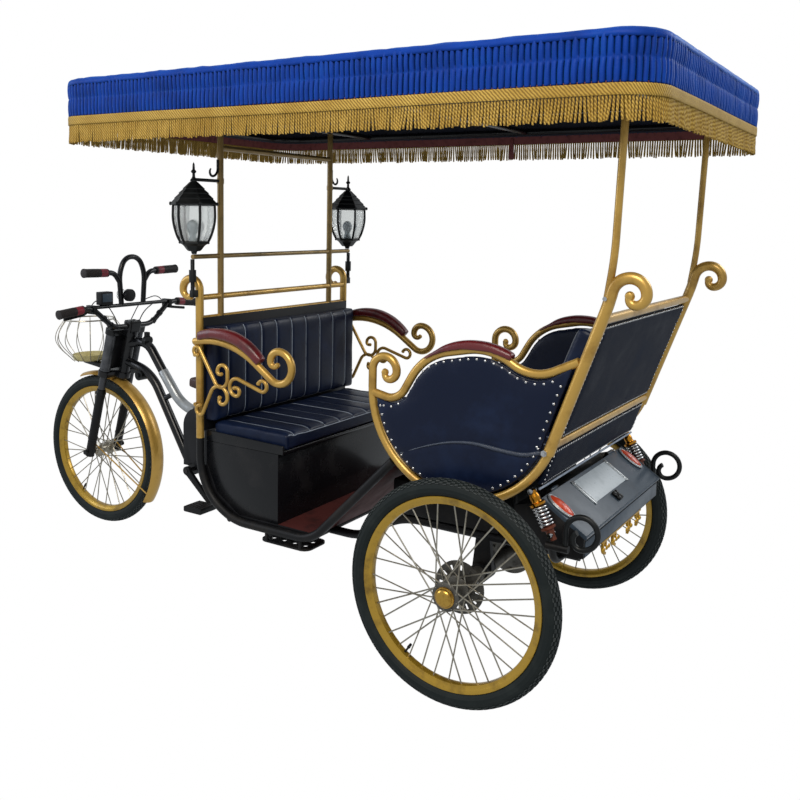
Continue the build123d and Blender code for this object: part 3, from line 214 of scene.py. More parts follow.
# moulded red-orange lamp lens under a clear coat
makeFinish("lampLens", "lamp_lens", "#C2401C", "#8E2412", 14, 1.8, 0.2, 0.32, 0.1, coat=0.25, haze=0.15,
           shine=0.3)
# gilded casting, rough and uneven
makeFinish("gildedCasting", "gold_paint", "#C4982F", "#7C5A14", 12, 2.4, 0.3, 0.5, 0.5, metal=0.7)
# olive cream enamel of the basket tray
makeFinish("trayCream", "gold_paint", "#BDB27C", "#9A8F5E", 40, 1.6, 0.35, 0.5, 0.15)
# dark navy lining cloth: plain weave, matt
makeFinish("liningCloth", "blue_satin", "#0B1020", "#141B30", 150, 2.0, 0.7, 0.85, 0.3, sheen=0.2)
# dusty red header tape and ribbon
makeFinish("redTape", "gold_fringe", "#7C3C3A", "#5A2426", 22, 1.6, 0.5, 0.7, 0.3)


def makeSatin():
    # acetate satin: royal blue with a cyan sheen, and painted shade that turns it nearly black deep in the
    # folds
    tree, shader, place = newMaterial("pleatedSatin", "blue_satin")
    colour = rampOf(tree, noiseOf(tree, place, 11.0, 5.0, Distortion=0.3),
                    [(0.3, "#062F80"), (0.55, "#083894"), (0.8, "#0A449E")])
    # painted shade: an ambient occlusion mask mixes the colour towards near-black navy in tight folds
    shade = addNode(tree, "ShaderNodeAmbientOcclusion", {"Distance": 0.016}, samples=6)
    openness = addNode(tree, "ShaderNodeMapRange", {0: shade.outputs["AO"], 1: 0.3, 2: 0.85})
    satinWithPaintedShade = addNode(tree, "ShaderNodeMix", {0: openness.outputs[0], 6: hexColour("#020D33"), 7: colour},
                    data_type="RGBA")
    weave, wrinkle = noiseOf(tree, place, 420.0, 2.0), noiseOf(tree, place, 34.0, 4.0, Distortion=1.2)
    height = addNode(tree, "ShaderNodeMath", {0: weave, 1: wrinkle}, operation="ADD")
    setInputs(tree, shader, {
        "Base Color": satinWithPaintedShade.outputs[2], "Normal": bumpOf(tree, height.outputs[0], 0.35, 0.0015),
        "Roughness": 0.5, "Sheen Weight": 0.55, "Sheen Roughness": 0.35, "Sheen Tint": hexColour("#1E8FF0"),
        "Specular IOR Level": 0.12})


def makeBullion():
    # rayon bullion cord: straw gold, with painted shade in the low grooves of the twist
    tree, shader, place = newMaterial("bullionCord", "gold_fringe")
    twist = addNode(tree, "ShaderNodeTexWave", {
        "Vector": place, "Scale": 62.0, "Distortion": 1.5, "Detail": 1.0, "Detail Scale": 2.0},
        bands_direction="DIAGONAL").outputs[1]
    straw = rampOf(tree, noiseOf(tree, place, 12.0, 3.0), [(0.3, "#D2B058"), (0.7, "#B3903C")])
    # painted shade: darker where the twist's relief is low
    grooveShadedYarn = addNode(tree, "ShaderNodeMix", {0: twist, 6: hexColour("#7E6026"), 7: straw}, data_type="RGBA")
    setInputs(tree, shader, {"Base Color": grooveShadedYarn.outputs[2], "Normal": bumpOf(tree, twist, 0.6, 0.0012),
                             "Roughness": 0.62, "Specular IOR Level": 0.2})


def makeGlass(name, slot, tint, roughness):
    # blown soda-lime glass, greyed by dust
    tree, shader, place = newMaterial(name, slot)
    setInputs(tree, shader, {
        "Normal": bumpOf(tree, noiseOf(tree, place, 60.0, 2.0), 0.12, 0.001), "Base Color": hexColour(tint),
        "Roughness": roughness, "IOR": 1.5, "Transmission Weight": 0.85, "Alpha": 0.72})


makeSatin()
makeBullion()
makeGlass("lanternGlass", "lantern_glass", "#C9CFCE", 0.22)
makeGlass("lampGlass", "lamp_lens", "#D5DADA", 0.06)
print("materials made")


# Shaping

def newPiece(name, shape):
    # an object at the origin from a shape in millimetres
    bmesh.ops.scale(shape, vec=(0.001,) * 3, verts=shape.verts)
    mesh = bpy.data.meshes.new(name)
    shape.to_mesh(mesh)
    shape.free()
    piece = bpy.data.objects.new(name, mesh)
    scene.collection.objects.link(piece)
    return piece


def finishPiece(piece, material, body, stands):
    piece.data.materials.append(finish[material])
    piece.data.shade_smooth()
    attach(piece, body)
    if stands:
        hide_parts(*stands)


def keepPiece(name, shape, material, stands=(), body="chassis", smooth=38):
    piece = newPiece(name, shape)
    finishPiece(piece, material, body, stands)
    piece.data.set_sharp_from_angle(angle=radians(smooth))
    return piece


def faceOut(shape):
    bmesh.ops.recalc_face_normals(shape, faces=shape.faces)


def mergeDoubles(shape):
    bmesh.ops.remove_doubles(shape, verts=shape.verts, dist=0.02)


def closeSkin(shape):
    mergeDoubles(shape)
    faceOut(shape)


def bentPath(points, reach=1000.0, steps=8):
    # straight runs through the points, with an arc at each corner
    points = [Vector(p) for p in points]
    path = [points[0]]
    for before, corner, after in zip(points, points[1:], points[2:]):
        come, go = corner - before, after - corner
        turn = come.angle(go)
        run = min(0.47 * come.length, 0.47 * go.length, reach)
        start, end = corner - come.normalized() * run, corner + go.normalized() * run
        radius = run / tan(turn / 2)
        centre = corner + ((go.normalized() - come.normalized()).normalized()) * (radius / cos(turn / 2))
        for step in range(steps + 1):
            angle = turn * step / steps
            bend = (start - centre) * sin(turn - angle) + (end - centre) * sin(angle)
            path.append(centre + bend / sin(turn))
    path.append(points[-1])
    return path


def flatPath(points, steps):
    return bentPath([(*p, 0) for p in points], steps=steps)


def wroughtPath(start, heading, runs, degreesPerStep=9.0):
    # runs of (radius, turn) or (length, 0), turning left when positive
    at, heading = Vector(start), radians(heading)
    path = [at.copy()]
    for size, turn in runs:
        if turn:
            side = 1 if turn > 0 else -1
            centre = at + Vector((-sin(heading), cos(heading))) * size * side
            count = max(2, round(abs(turn) / degreesPerStep))
            for step in range(1, count + 1):
                now = heading + radians(turn) * step / count
                path.append(centre + Vector((sin(now), -cos(now))) * size * side)
            heading += radians(turn)
            at = path[-1]
        else:
            at = at + Vector((cos(heading), sin(heading))) * size
            path.append(at.copy())
    return path


def onSide(path, y, origin="rearAxle"):
    return [sidePoint(p[0], y, p[1], origin) for p in path]


def addBar(shape, path, radius, sides=12, taper=None):
    # a round bar along a path; taper gives the share of the radius at each point
    curve = bpy.data.curves.new("bar", "CURVE")
    curve.dimensions, curve.twist_mode = "3D", "MINIMUM"
    curve.bevel_depth, curve.bevel_resolution, curve.use_fill_caps = radius, (sides - 4) // 2, True
    spline = curve.splines.new("POLY")
    spline.points.add(len(path) - 1)
    for spot, point, share in zip(spline.points, path, taper or [1.0] * len(path)):
        spot.co, spot.radius = (*point, 1.0), share
    holder = bpy.data.objects.new("bar", curve)
    mesh = bpy.data.meshes.new_from_object(holder)
    shape.from_mesh(mesh)
    bpy.data.objects.remove(holder)
    bpy.data.curves.remove(curve)
    bpy.data.meshes.remove(mesh)


def curlTaper(path, last, thin):
    # full thickness, then thinner over the last points of a curl
    count = len(path)
    return [1.0 if i < count - last else 1.0 - (1 - thin) * (i - (count - last)) / last for i in range(count)]


def turnTo(direction):
    return Vector(direction).to_track_quat("Z", "Y").to_matrix().to_4x4()


def addRod(shape, start, end, radius, radiusEnd=None, sides=12):
    start, end = Vector(start), Vector(end)
    bmesh.ops.create_cone(shape, cap_ends=True, segments=sides, radius1=radius,
                          radius2=radius if radiusEnd is None else radiusEnd, depth=(end - start).length,
                          matrix=Matrix.Translation((start + end) / 2) @ turnTo(end - start))


def roundEdges(shape, verts, edge):
    edges = list({e for v in verts for e in v.link_edges})
    bmesh.ops.bevel(shape, geom=edges, offset=edge, segments=2, profile=0.5, affect="EDGES", material=-1)


def addBox(shape, centre, size, edge, turn=None):
    made = bmesh.ops.create_cube(shape, size=1.0, matrix=Matrix.Translation(centre) @
                                 (turn or Matrix.Identity(4)) @ Matrix.Diagonal((*size, 1.0)))
    roundEdges(shape, made["verts"], edge)


def addSlab(shape, points, move, edge):
    # a prism from its corners and one vector
    verts = [shape.verts.new(p) for p in points]
    made = bmesh.ops.extrude_face_region(shape, geom=[shape.faces.new(verts)])
    top = [v for v in made["geom"] if isinstance(v, bmesh.types.BMVert)]
    bmesh.ops.translate(shape, vec=Vector(move), verts=top)
    roundEdges(shape, verts + top, edge)


def addDome(shape, centre, outward, radius, height, sides=8):
    # a low nail head or a forged knob
    bmesh.ops.create_uvsphere(shape, u_segments=sides, v_segments=4, radius=1.0,
                              matrix=Matrix.Translation(centre) @
                              turnTo(outward) @ Matrix.Diagonal((radius, radius, height, 1.0)))


def addCurl(shape, path, y, origin, radius, sides, last, thin, knob, height):
    # a bar in a side plane that thins towards its curl and ends in a knob
    addBar(shape, onSide(path, y, origin), radius, sides, curlTaper(path, last, thin))
    addDome(shape, sidePoint(*path[-1][:1], y, path[-1][1], origin), (0, y, 0), knob, height, 12)


def spinProfile(shape, profile, centre, axis, out, steps):
    # profile points are (along the axis, distance from it)
    axis, out, centre = Vector(axis).normalized(), Vector(out).normalized(), Vector(centre)
    verts = [shape.verts.new(centre + axis * along + out * reach) for along, reach in profile]
    edges = [shape.edges.new(pair) for pair in zip(verts, verts[1:])]
    bmesh.ops.spin(shape, geom=verts + edges, cent=centre, axis=axis, angle=2 * pi, steps=steps,
                   use_merge=True)


def spunShape(profile, centre, axis, out, steps):
    shape = bmesh.new()
    spinProfile(shape, profile, centre, axis, out, steps)
    closeSkin(shape)
    return shape


def mirrored(half):
    return half + [(-along, reach) for along, reach in reversed(half)]


def halfDome(shape, centre, axes, sizes, rings=8):
    # half a ball on its flat face, with its three axes and half sizes
    ball = bmesh.new()
    bmesh.ops.create_uvsphere(ball, u_segments=36, v_segments=rings * 2, radius=1.0)
    bmesh.ops.bisect_plane(ball, geom=ball.verts[:] + ball.edges[:] + ball.faces[:], dist=0.001,
                           plane_co=(0, 0, 0), plane_no=(0, 0, -1), clear_outer=True)
    bmesh.ops.contextual_create(ball, geom=[e for e in ball.edges if e.is_boundary])
    place = Matrix([Vector(axis) * size for axis, size in zip(axes, sizes)]).transposed().to_4x4()
    bmesh.ops.transform(ball, matrix=Matrix.Translation(centre) @ place, verts=ball.verts)
    faceOut(ball)
    mesh = bpy.data.meshes.new("dome")
    ball.to_mesh(mesh)
    ball.free()
    shape.from_mesh(mesh)
    bpy.data.meshes.remove(mesh)


def dressNode(name, material, split=32, edge=0.0):
    # a CAD node that stays: its finish, welded, rounded and smoothly shaded
    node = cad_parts[name]
    node.data.materials.clear()
    node.data.materials.append(finish[material])
    node.data.polygons.foreach_set("use_smooth", [True] * len(node.data.polygons))
    node.modifiers.new("weld", "WELD").merge_threshold = 0.00002
    if edge:
        rounded = node.modifiers.new("edges", "BEVEL")
        rounded.width, rounded.segments = edge / 1000, 2
        rounded.limit_method, rounded.angle_limit = "ANGLE", radians(40)
    node.modifiers.new("crisp", "EDGE_SPLIT").split_angle = radians(split)


# Soft pieces

def applyModifiers(piece):
    graph = bpy.context.evaluated_depsgraph_get()
    mesh = bpy.data.meshes.new_from_object(piece.evaluated_get(graph))
    piece.modifiers.clear()
    piece.data = mesh
    return mesh


def softPiece(name, node, material, voxel, cap, shrink, fill, smooth=3, shapeBy=None):
    # the node's solid, drawn in by shrink, remeshed, blown up as cloth by no more than cap, then sewn
    shape = bmesh.new()
    shape.from_mesh(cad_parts[node].data)
    bmesh.ops.scale(shape, vec=(1000.0,) * 3, verts=shape.verts)
    closeSkin(shape)
    shape.normal_update()
    for vert in shape.verts:
        vert.co -= vert.normal * shrink
    piece = newPiece(name, shape)
    voxels = piece.modifiers.new("voxels", "REMESH")
    voxels.mode, voxels.voxel_size = "VOXEL", voxel / 1000
    bpy.context.view_layer.update()
    mesh = applyModifiers(piece)
    rest = [v.co.copy() for v in mesh.vertices]
    settings = piece.modifiers.new("cloth", "CLOTH").settings
    settings.use_pressure = True
    settings.uniform_pressure_force = 4.0
    settings.effector_weights.gravity = 0.0
    settings.quality = 4
    for step in range(1, 21):
        scene.frame_set(step)
    mesh = applyModifiers(piece)
    scene.frame_set(1)
    limit = cap / 1000
    for vert, start in zip(mesh.vertices, rest):
        move = vert.co - start
        if move.length > limit:
            vert.co = start + move * (limit / move.length)
    shape = bmesh.new()
    shape.from_mesh(mesh)
    for turn in range(smooth):
        bmesh.ops.smooth_vert(shape, verts=shape.verts, factor=0.5, use_axis_x=True, use_axis_y=True,
                              use_axis_z=True)
    if shapeBy:
        shape.normal_update()
        for vert in shape.verts:
            vert.co += vert.normal * (shapeBy(vert.co * 1000, vert.normal) / 1000)
    shape.to_mesh(mesh)
    shape.free()
    finishPiece(piece, material, "chassis", [node])
    return piece


def skinOf(piece):
    # a search tree over a finished piece, in millimetres
    shape = bmesh.new()
    shape.from_mesh(piece.data)
    bmesh.ops.scale(shape, vec=(1000.0,) * 3, verts=shape.verts)
    tree = BVHTree.FromBMesh(shape)
    shape.free()
    return tree


def layOn(tree, points, toward, lift, far=120.0):
    # points moved along a direction until they meet the skin
    toward = Vector(toward).normalized()
    hits = [tree.ray_cast(Vector(point) - toward * far, toward, 2 * far)[0] for point in points]
    return [hit - toward * lift for hit in hits if hit is not None]


def evenly(path, pitch):
    # points a pitch apart along a path
    total = sum((b - a).length for a, b in zip(path, path[1:]))
    gap = total / max(1, round(total / pitch))
    spots, due, walked = [], 0.0, 0.0
    for a, b in zip(path, path[1:]):
        run = (b - a).length
        while due <= walked + run + 1e-6 and run:
            spots.append(a.lerp(b, min(1.0, (due - walked) / run)))
            due += gap
        walked += run
    return spots


# Wheels: spun tyre with raised blocks, spun rim, laced spokes, hub, disc, cap and valve

wheel = {
    "tyreCentre": 302.5, "tyreRadius": 25.3, "treadSteps": 168, "treadHalf": 57.0, "rowAngle": 12.6,
    "blockDepth": 2.3, "rimInner": 258.0, "rim": [(-17, 282.2), (-18.6, 281), (-18, 274), (-15, 270),
                                                  (-11, 259), (-6, 257.6)],
    "rimBed": [(15, 279), (0, 274), (-15, 279), (-17, 282.2)],
    "spokeCount": 36, "spokeRadius": 2.3, "spokeCross": 58.0, "flange": 30.0, "valveAt": 236.0,
    "frontHub": [(-54, 5.1), (-54, 11), (-51, 12.5), (-40, 12.5), (-36, 16), (-32.5, 30), (-31, 32),
                 (-28.5, 32), (-27, 30), (-24, 18)],
    "rearHub": [(-126, 0), (-126, 10.8), (-64, 10.8), (-64, 30), (-60, 32), (-53, 32), (-53, 24), (-36, 24),
                (-32.5, 40), (-31, 42), (-28.5, 42), (-27, 40), (-24, 25), (-18, 23), (18, 23), (24, 25),
                (27, 40), (28.5, 42), (31, 42), (32.5, 40), (34, 28), (35, 0)],
    "cap": [(34.5, 0), (34.5, 29), (37, 31), (40, 29.5), (41, 27), (43, 26.5), (46, 25), (49, 21.5),
            (51.5, 16), (53, 9), (53.6, 0)],
    "disc": [(-52, 30), (-52, 50), (-52, 58), (-52, 66), (-52, 78)], "discSteps": 48,
}


def tyreShape(centre):
    # from one bead over the crown to the other, with two low ribs on each sidewall
    profile = []
    for step in range(-24, 25):
        angle = radians(step * 6.3)
        reach = wheel["tyreRadius"] + (0.7 if abs(step) in (13, 17) else 0.0)
        profile.append((reach * sin(angle), wheel["tyreCentre"] + reach * cos(angle)))
    shape = spunShape(profile, centre, (0, 1, 0), upward, wheel["treadSteps"])
    blocks = []
    for face in shape.faces:
        middle = face.calc_center_median() - centre
        lean = abs(atan2(middle.y, hypot(middle.x, middle.z) - wheel["tyreCentre"]))
        ring = int((atan2(middle.x, middle.z) + pi) / (2 * pi / wheel["treadSteps"]))
        if lean < radians(wheel["treadHalf"]) and (ring + int(lean / radians(wheel["rowAngle"]))) % 2 == 0:
            blocks.append(face)
    bmesh.ops.inset_individual(shape, faces=blocks, thickness=0.8, depth=wheel["blockDepth"])
    for face in blocks:
        face.material_index = 1
    return shape


def spokeShape(centre, hubRadius):
    shape = bmesh.new()
    inner, outer = hubRadius - 4, wheel["rimInner"] + 4
    for count in range(wheel["spokeCount"]):
        flange = 1 if count % 2 else -1
        lean = 1 if count % 4 < 2 else -1
        atRim = radians(count * 360 / wheel["spokeCount"])
        atHub = atRim - lean * radians(wheel["spokeCross"])
        start = centre + Vector((inner * cos(atHub), flange * (wheel["flange"] + lean * 1.2),
                                 inner * sin(atHub)))
        end = centre + Vector((outer * cos(atRim), flange * 4 + lean * 1.2, outer * sin(atRim)))
        addRod(shape, start, end, wheel["spokeRadius"], sides=6)
        addRod(shape, end, end + (start - end).normalized() * 16, 2.4, 2.0, sides=6)
        addRod(shape, start - sideways(lean * 1.5), start + sideways(lean * 3.0), 2.6, sides=6)
    return shape


def discShape(centre, out):
    disc = bmesh.new()
    spinProfile(disc, wheel["disc"], centre, out, upward, wheel["discSteps"])
    mergeDoubles(disc)
    holes = []
    for face in disc.faces:
        middle = face.calc_center_median() - centre
        sector = int((atan2(middle.x, middle.z) + pi) / (2 * pi / wheel["discSteps"]) + 0.01)
        if 50 < (middle + out * 52).length < 66 and sector % 4 == 0:
            holes.append(face)
    bmesh.ops.delete(disc, geom=holes, context="FACES")
    bmesh.ops.solidify(disc, geom=disc.faces, thickness=3.6)
    faceOut(disc)
    return disc


def makeWheel(title, node, side):
    body = node + "_wheel"
    centre = sidePoint(0, side * stance["track"] / 2, stance["axleHeight"],
                       "rearAxle" if side else "frontAxle")
    out = sideways(side or 1)
    tyre = keepPiece(title + "Tyre", tyreShape(centre), "tyreRubber", [node + "_tyre"], body, 25)
    tyre.data.materials.append(finish["treadRubber"])
    rim = spunShape(mirrored(wheel["rim"]) + wheel["rimBed"], centre, (0, 1, 0), upward, 96)
    keepPiece(title + "Rim", rim, "goldRim", [node + "_rim"], body)
    keepPiece(title + "Spokes", spokeShape(centre, 40.0 if side else 30.0), "spokeSteel", body=body)
    profile = wheel["rearHub"] if side else mirrored(wheel["frontHub"]) + wheel["frontHub"][:1]
    hub = spunShape(profile, centre, out, upward, 40)
    keepPiece(title + "Hub", hub, "castAluminium" if side else "spokeSteel", [node + "_hub"], body)
    if side:
        keepPiece(title + "Cap", spunShape(wheel["cap"], centre, out, upward, 40), "brassCap", body=body)
        keepPiece(title + "BrakeDisc", discShape(centre, out), "castAluminium", body=body)
    valve = bmesh.new()
    way = radians(wheel["valveAt"])
    spoke, inner = Vector((cos(way), 0, sin(way))), wheel["rimInner"]
    addRod(valve, centre + spoke * (inner + 2), centre + spoke * (inner - 22), 3.6, 3.0, sides=10)
    addRod(valve, centre + spoke * (inner - 20), centre + spoke * (inner - 34), 5.0, 4.2, sides=10)
    keepPiece(title + "Valve", valve, "blackAbs", body=body)


makeWheel("front", "front", 0)
makeWheel("rearLeft", "rear_left", -1)
makeWheel("rearRight", "rear_right", 1)
print("wheels made")


# Rear seat: gold frames with curls and the canopy's rear posts

tub = {
    "start": (242.0, 753.0), "heading": 246.0, "radius": 297.0, "recline": 19.4, "tube": 12.5,
    "uprightTube": 16.0, "trough": [(297.0, -66), (297.0, -90), (52, 0), (42, -180), (26, -90), (15, -110)],
    "upright": [(412.0, 0), (500, 6), (10, 0), (48, -77), (42, -90), (27, -90), (17, -110)],
    "armRail": [(-327, 857), (-235, 838), (-150, 985), (60, 1027), (190, 950), (318, 1012)],
    "posts": [(383, 1180), (398, 1290), (410, 1701.7)],
}
tubLean = radians(90 - tub["recline"])


def makeRearFrames():
    trough = wroughtPath(tub["start"], tub["heading"], tub["trough"], 4.0)
    upright = wroughtPath(tub["start"], 90 - tub["recline"], tub["upright"], 6.0)
    for hand, side in hands:
        y = side * stance["sideY"]
        frames = bmesh.new()
        addCurl(frames, trough, y, "rearAxle", tub["tube"], 16, 40, 0.72, 12, 11)
        addBar(frames, onSide(flatPath(tub["armRail"], 10), y), tub["tube"], 16)
        addCurl(frames, upright, y, "rearAxle", tub["uprightTube"], 18, 46, 0.66, 13.5, 13)
        keepPiece("rearFrame" + hand, frames, "goldLacquer", ["side_frames"])
        posts = bmesh.new()
        addBar(posts, onSide(flatPath(tub["posts"], 6), y), 10.0, 14)
        keepPiece("rearPost" + hand, posts, "goldLacquer", ["rear_posts"])
        bolts = bmesh.new()
        pivot, clampAt = sidePoint(tub["start"][0] - 6, y, tub["start"][1] + 4), sidePoint(383, y, 1183)
        addRod(bolts, pivot, pivot + sideways(side * 20), 9.5, sides=6)
        addRod(bolts, pivot + sideways(side * 19), pivot + sideways(side * 24), 5, sides=10)
        addRod(bolts, clampAt, clampAt + sideways(side * 19), 6, sides=10)
        keepPiece("rearBolts" + hand, bolts, "chromePlate")


makeRearFrames()
dressNode("back_rails", "goldLacquer")


# Canopy: a stretched roof, a pleated valance, braid, bullion fringe, lining and header tape

canopy = {
    "centreX": 421.5, "length": 2055.0, "width": 1256.0, "corner": 120.0, "ceiling": 1866.0,
    "roof": [(1796, 0.0), (1804, 0.2), (1811, 2.6), (1816, 8), (1820, 18), (1824, 34), (1829, 60), (1835, 95),
             (1841, 135), (1847, 180), (1853, 225), (1859, 265), (1863, 290), (1865, 300), (1865.5, 340),
             (1865.5, 400), (1865.5, 470), (1865.5, 540), (1865.5, 600)],
    "lining": [(1696, 12.5), (1712, 12.2), (1738, 12.0), (1770, 12.5), (1794, 16), (1803, 40), (1811, 95),
               (1822, 160), (1834, 225), (1845, 290), (1850, 330), (1850, 420), (1850, 520), (1850, 590)],
    "valance": [1694, 1698, 1706, 1718, 1731, 1743, 1749, 1752, 1755, 1761, 1772, 1784, 1794, 1800, 1806,
                1809],
    "pleats": 378, "pleatDepth": 6.5, "pleat": (-1.0, 0.05, 0.5, 0.62, 0.55, 0.2), "foot": 1692,
    "gather": 1752, "braid": [1694.5, 1693, 1688, 1682, 1675, 1669, 1667.5],
    "strandPitch": 8.8, "strandRadius": 3.5, "strandTop": 1668.5, "girth": 6416.0,
}


def canopyRing(inset, count):
    # points round the rounded plan, with their outward directions
    halves = (canopy["length"] / 2 - inset, canopy["width"] / 2 - inset)
    corner = max(canopy["corner"] - inset, 8.0)
    runs, total = [], 0.0
    for turn in range(4):
        for size, bent in ((2 * halves[turn % 2] - 2 * corner, False), (corner * pi / 2, True)):
            runs.append((total, size, bent, turn))
            total += size
    ring = []
    for step in range(count):
        walked = total * step / count
        begin, size, bent, turn = [run for run in runs if run[0] <= walked + 1e-9][-1]
        share, heading = (walked - begin) / size, turn * pi / 2
        along = Vector((cos(heading), sin(heading), 0))
        normal = outward = Vector((sin(heading), -cos(heading), 0))
        flatHalf, wide = halves[turn % 2] - corner, halves[1 - turn % 2]
        if bent:
            normal = outward * cos(share * pi / 2) + along * sin(share * pi / 2)
            point = along * flatHalf + outward * (wide - corner) + normal * corner
        else:
            point = along * (-flatHalf + 2 * flatHalf * share) + outward * wide
        ring.append((Vector((canopy["centreX"] + point.x, point.y, 0)), normal))
    return ring


def sheetFromRings(rings, closed=False):
    # an edge loop extruded from ring to ring, each new loop set on its own points
    shape = bmesh.new()
    loop = [shape.verts.new(p) for p in rings[0]]
    edges = [shape.edges.new((a, b)) for a, b in zip(loop, loop[1:] + loop[:1])]
    for ring in rings[1:]:
        made = bmesh.ops.extrude_edge_only(shape, edges=edges)["geom"]
        fresh = {v for v in made if isinstance(v, bmesh.types.BMVert)}
        linked = {v: next(e.other_vert(v) for e in v.link_edges if e.other_vert(v) not in fresh)
                  for v in fresh}
        order = {old: index for index, old in enumerate(loop)}
        loop = [None] * len(loop)
        for vert, old in linked.items():
            loop[order[old]] = vert
            vert.co = ring[order[old]]
        edges = [e for e in made if isinstance(e, bmesh.types.BMEdge) and fresh.issuperset(e.verts)]
    if closed:
        bmesh.ops.edgeloop_fill(shape, edges=edges)
    faceOut(shape)
    return shape


def waver(point, size, amount):
    return noise.noise(Vector(point) / size) * amount


def thicken(piece, thickness, offset):
    thick = piece.modifiers.new("thickness", "SOLIDIFY")
    thick.thickness, thick.offset = thickness, offset


def raised(point, height):
    return Vector((point.x, point.y, height))


def makeRoof():
    # one stretched sheet over the top, rolled over the edge, with shallow pull folds towards the corners
    rings = []
    for height, inset in canopy["roof"]:
        fade = min(1.0, inset / 60) * max(0.0, 1 - inset / 520)
        ring = []
        for index, (point, normal) in enumerate(canopyRing(inset, 420)):
            fold = waver((index * 60.0, inset * 0.9, 5.0), 260.0, 5.0) * fade + sin(index * 0.42) * 1.1 * fade
            pucker = 0.0
            if inset < 60:
                pucker = 2.6 * waver((index * 0.55 + height * 0.09, height * 0.05, 8.0), 1.3, 1.0)
            place = point - normal * max(0.0, pucker + 1.0)
            ring.append(raised(place, min(height + fold - 3.0 * fade + pucker, canopy["ceiling"])))
        rings.append(ring)
    roof = keepPiece("canopyRoof", sheetFromRings(rings, True), "pleatedSatin", ["canopy"], smooth=70)
    thicken(roof, 0.0012, -1.0)


def makeValance():
    # satin gathered into knife pleats, sewn once across its middle
    foot, gather, rows, perPleat = canopy["foot"], canopy["gather"], canopy["valance"], len(canopy["pleat"])
    rings = []
    for height in rows:
        atSeam, atHead = max(0.0, 1 - abs(height - gather) / 5.0), max(0.0, 1 - (rows[-1] - height) / 8.0)
        drawn = 1.0 - 0.75 * atSeam - 0.5 * atHead
        start, tall, bulge = (foot, 60, 1.6) if height < gather else (gather, 58, 1.8)
        belly = sin(pi * (height - start) / tall) ** 2 * bulge
        ring = []
        for index, (point, normal) in enumerate(canopyRing(3.0, canopy["pleats"] * perPleat)):
            number = index // perPleat
            lean = waver((number * 3.1, height * 0.02, 1.0), 3.0, 0.9)
            fold = canopy["pleat"][index % perPleat] * canopy["pleatDepth"] * drawn * (0.75 + 0.5 * lean)
            sway = waver((number * 1.7, height * 0.03, 9.0), 2.2, 2.6) * drawn
            place = point + normal * (fold + belly - 1.6) + Vector((-normal.y, normal.x, 0)) * sway
            ring.append(raised(place, height + waver((number, 3.0, 2.0), 9.0, 1.2)))
        rings.append(ring)
    valance = keepPiece("canopyValance", sheetFromRings(rings), "pleatedSatin", smooth=80)
    thicken(valance, 0.0008, -1.0)
    return valance


def makeFringe():
    rows, rings = canopy["braid"], []
    for height in rows:
        ring = []
        for index, (point, normal) in enumerate(canopyRing(1.0, 960)):
            scallop = 0.8 * (index % 2) if height > 1690 else 0.0
            weave = 0.7 * sin(index * pi / 2 + height * 0.6)
            edge = 0.0 if height in (rows[0], rows[-1]) else 0.9
            dip = waver((index * 0.4, 2.0, 7.0), 40.0, 2.6)
            ring.append(raised(point + normal * (edge + weave * 0.5), height + scallop + dip - 1.3))
        rings.append(ring)
    braid = sheetFromRings(rings)
    bmesh.ops.solidify(braid, geom=braid.faces, thickness=2.4)
    braidPiece = keepPiece("canopyBraid", braid, "bullionCord", smooth=60)
    strands = bmesh.new()
    picker = random.Random(5)
    lean = 0.0
    for index, (point, normal) in enumerate(canopyRing(3.6, round(canopy["girth"] / canopy["strandPitch"]))):
        along = Vector((-normal.y, normal.x, 0))
        clump = waver((index * 0.21, 1.0, 4.0), 1.0, 13.0)
        lean = 0.6 * lean + picker.uniform(-2.6, 2.6)
        top = canopy["strandTop"] + (waver((index * 0.34, 2.0, 7.0), 40.0, 2.6) - 1.3)
        drop = 60 + picker.uniform(-4, 2)
        path = []
        for step in range(6):
            share = step / 5
            flare = 2.4 * share ** 2 + picker.uniform(-0.6, 0.6)
            swing = (clump + lean) * share ** 1.4
            path.append(point + along * swing + normal * (flare - 2.6) + upward * (top - drop * share))
        addBar(strands, path, canopy["strandRadius"], 6, [1.0, 0.95, 1.05, 0.95, 1.05, 0.8])
    return braidPiece, keepPiece("canopyFringe", strands, "bullionCord", ["canopy_fringe"], smooth=60)


def makeLining():
    # navy cloth under the bows and down inside the valance, with a red header tape at the hem
    rings = [[raised(p, height + waver((i * 3.0, inset, 3.0), 60.0, 2.5) * min(1.0, inset / 100))
              for i, (p, n) in enumerate(canopyRing(inset, 240))] for height, inset in canopy["lining"]]
    shape = sheetFromRings(rings, True)
    bmesh.ops.reverse_faces(shape, faces=shape.faces)
    lining = keepPiece("canopyLining", shape, "liningCloth", smooth=70)
    thicken(lining, 0.001, 1.0)
    tape = sheetFromRings([[raised(p, height) for p, n in canopyRing(7.5, 240)]
                           for height in (1668, 1671, 1696, 1699)])
    bmesh.ops.solidify(tape, geom=tape.faces, thickness=1.4)
    keepPiece("canopyHeaderTape", tape, "redTape", smooth=50)
    ribbon = bmesh.new()
    at = Vector((530.0, canopy["width"] / 2 - 11, 1690))
    corners = ((-6, 0, 0), (6, 0, 0), (13, 1, -78), (-11, -1, -80))
    addSlab(ribbon, [at + Vector(corner) for corner in corners], (0, -1.2, 0), 0.2)
    keepPiece("canopyRibbon", ribbon, "redTape")


makeRoof()
valancePiece = makeValance()
braidPiece, fringePiece = makeFringe()
makeLining()
dressNode("canopy_frame", "blackEnamel")
print("canopy made")


# Leather work of the rear seat and the bench

nailed = {"radius": 4.6, "height": 3.4, "inset": 26.0, "pitch": 26.5, "backPitch": 13.5, "backRadius": 3.4,
          "seam": [(-219, 685), (-124, 724), (-48, 746), (25, 754), (103, 745), (177, 742), (220, 754)]}


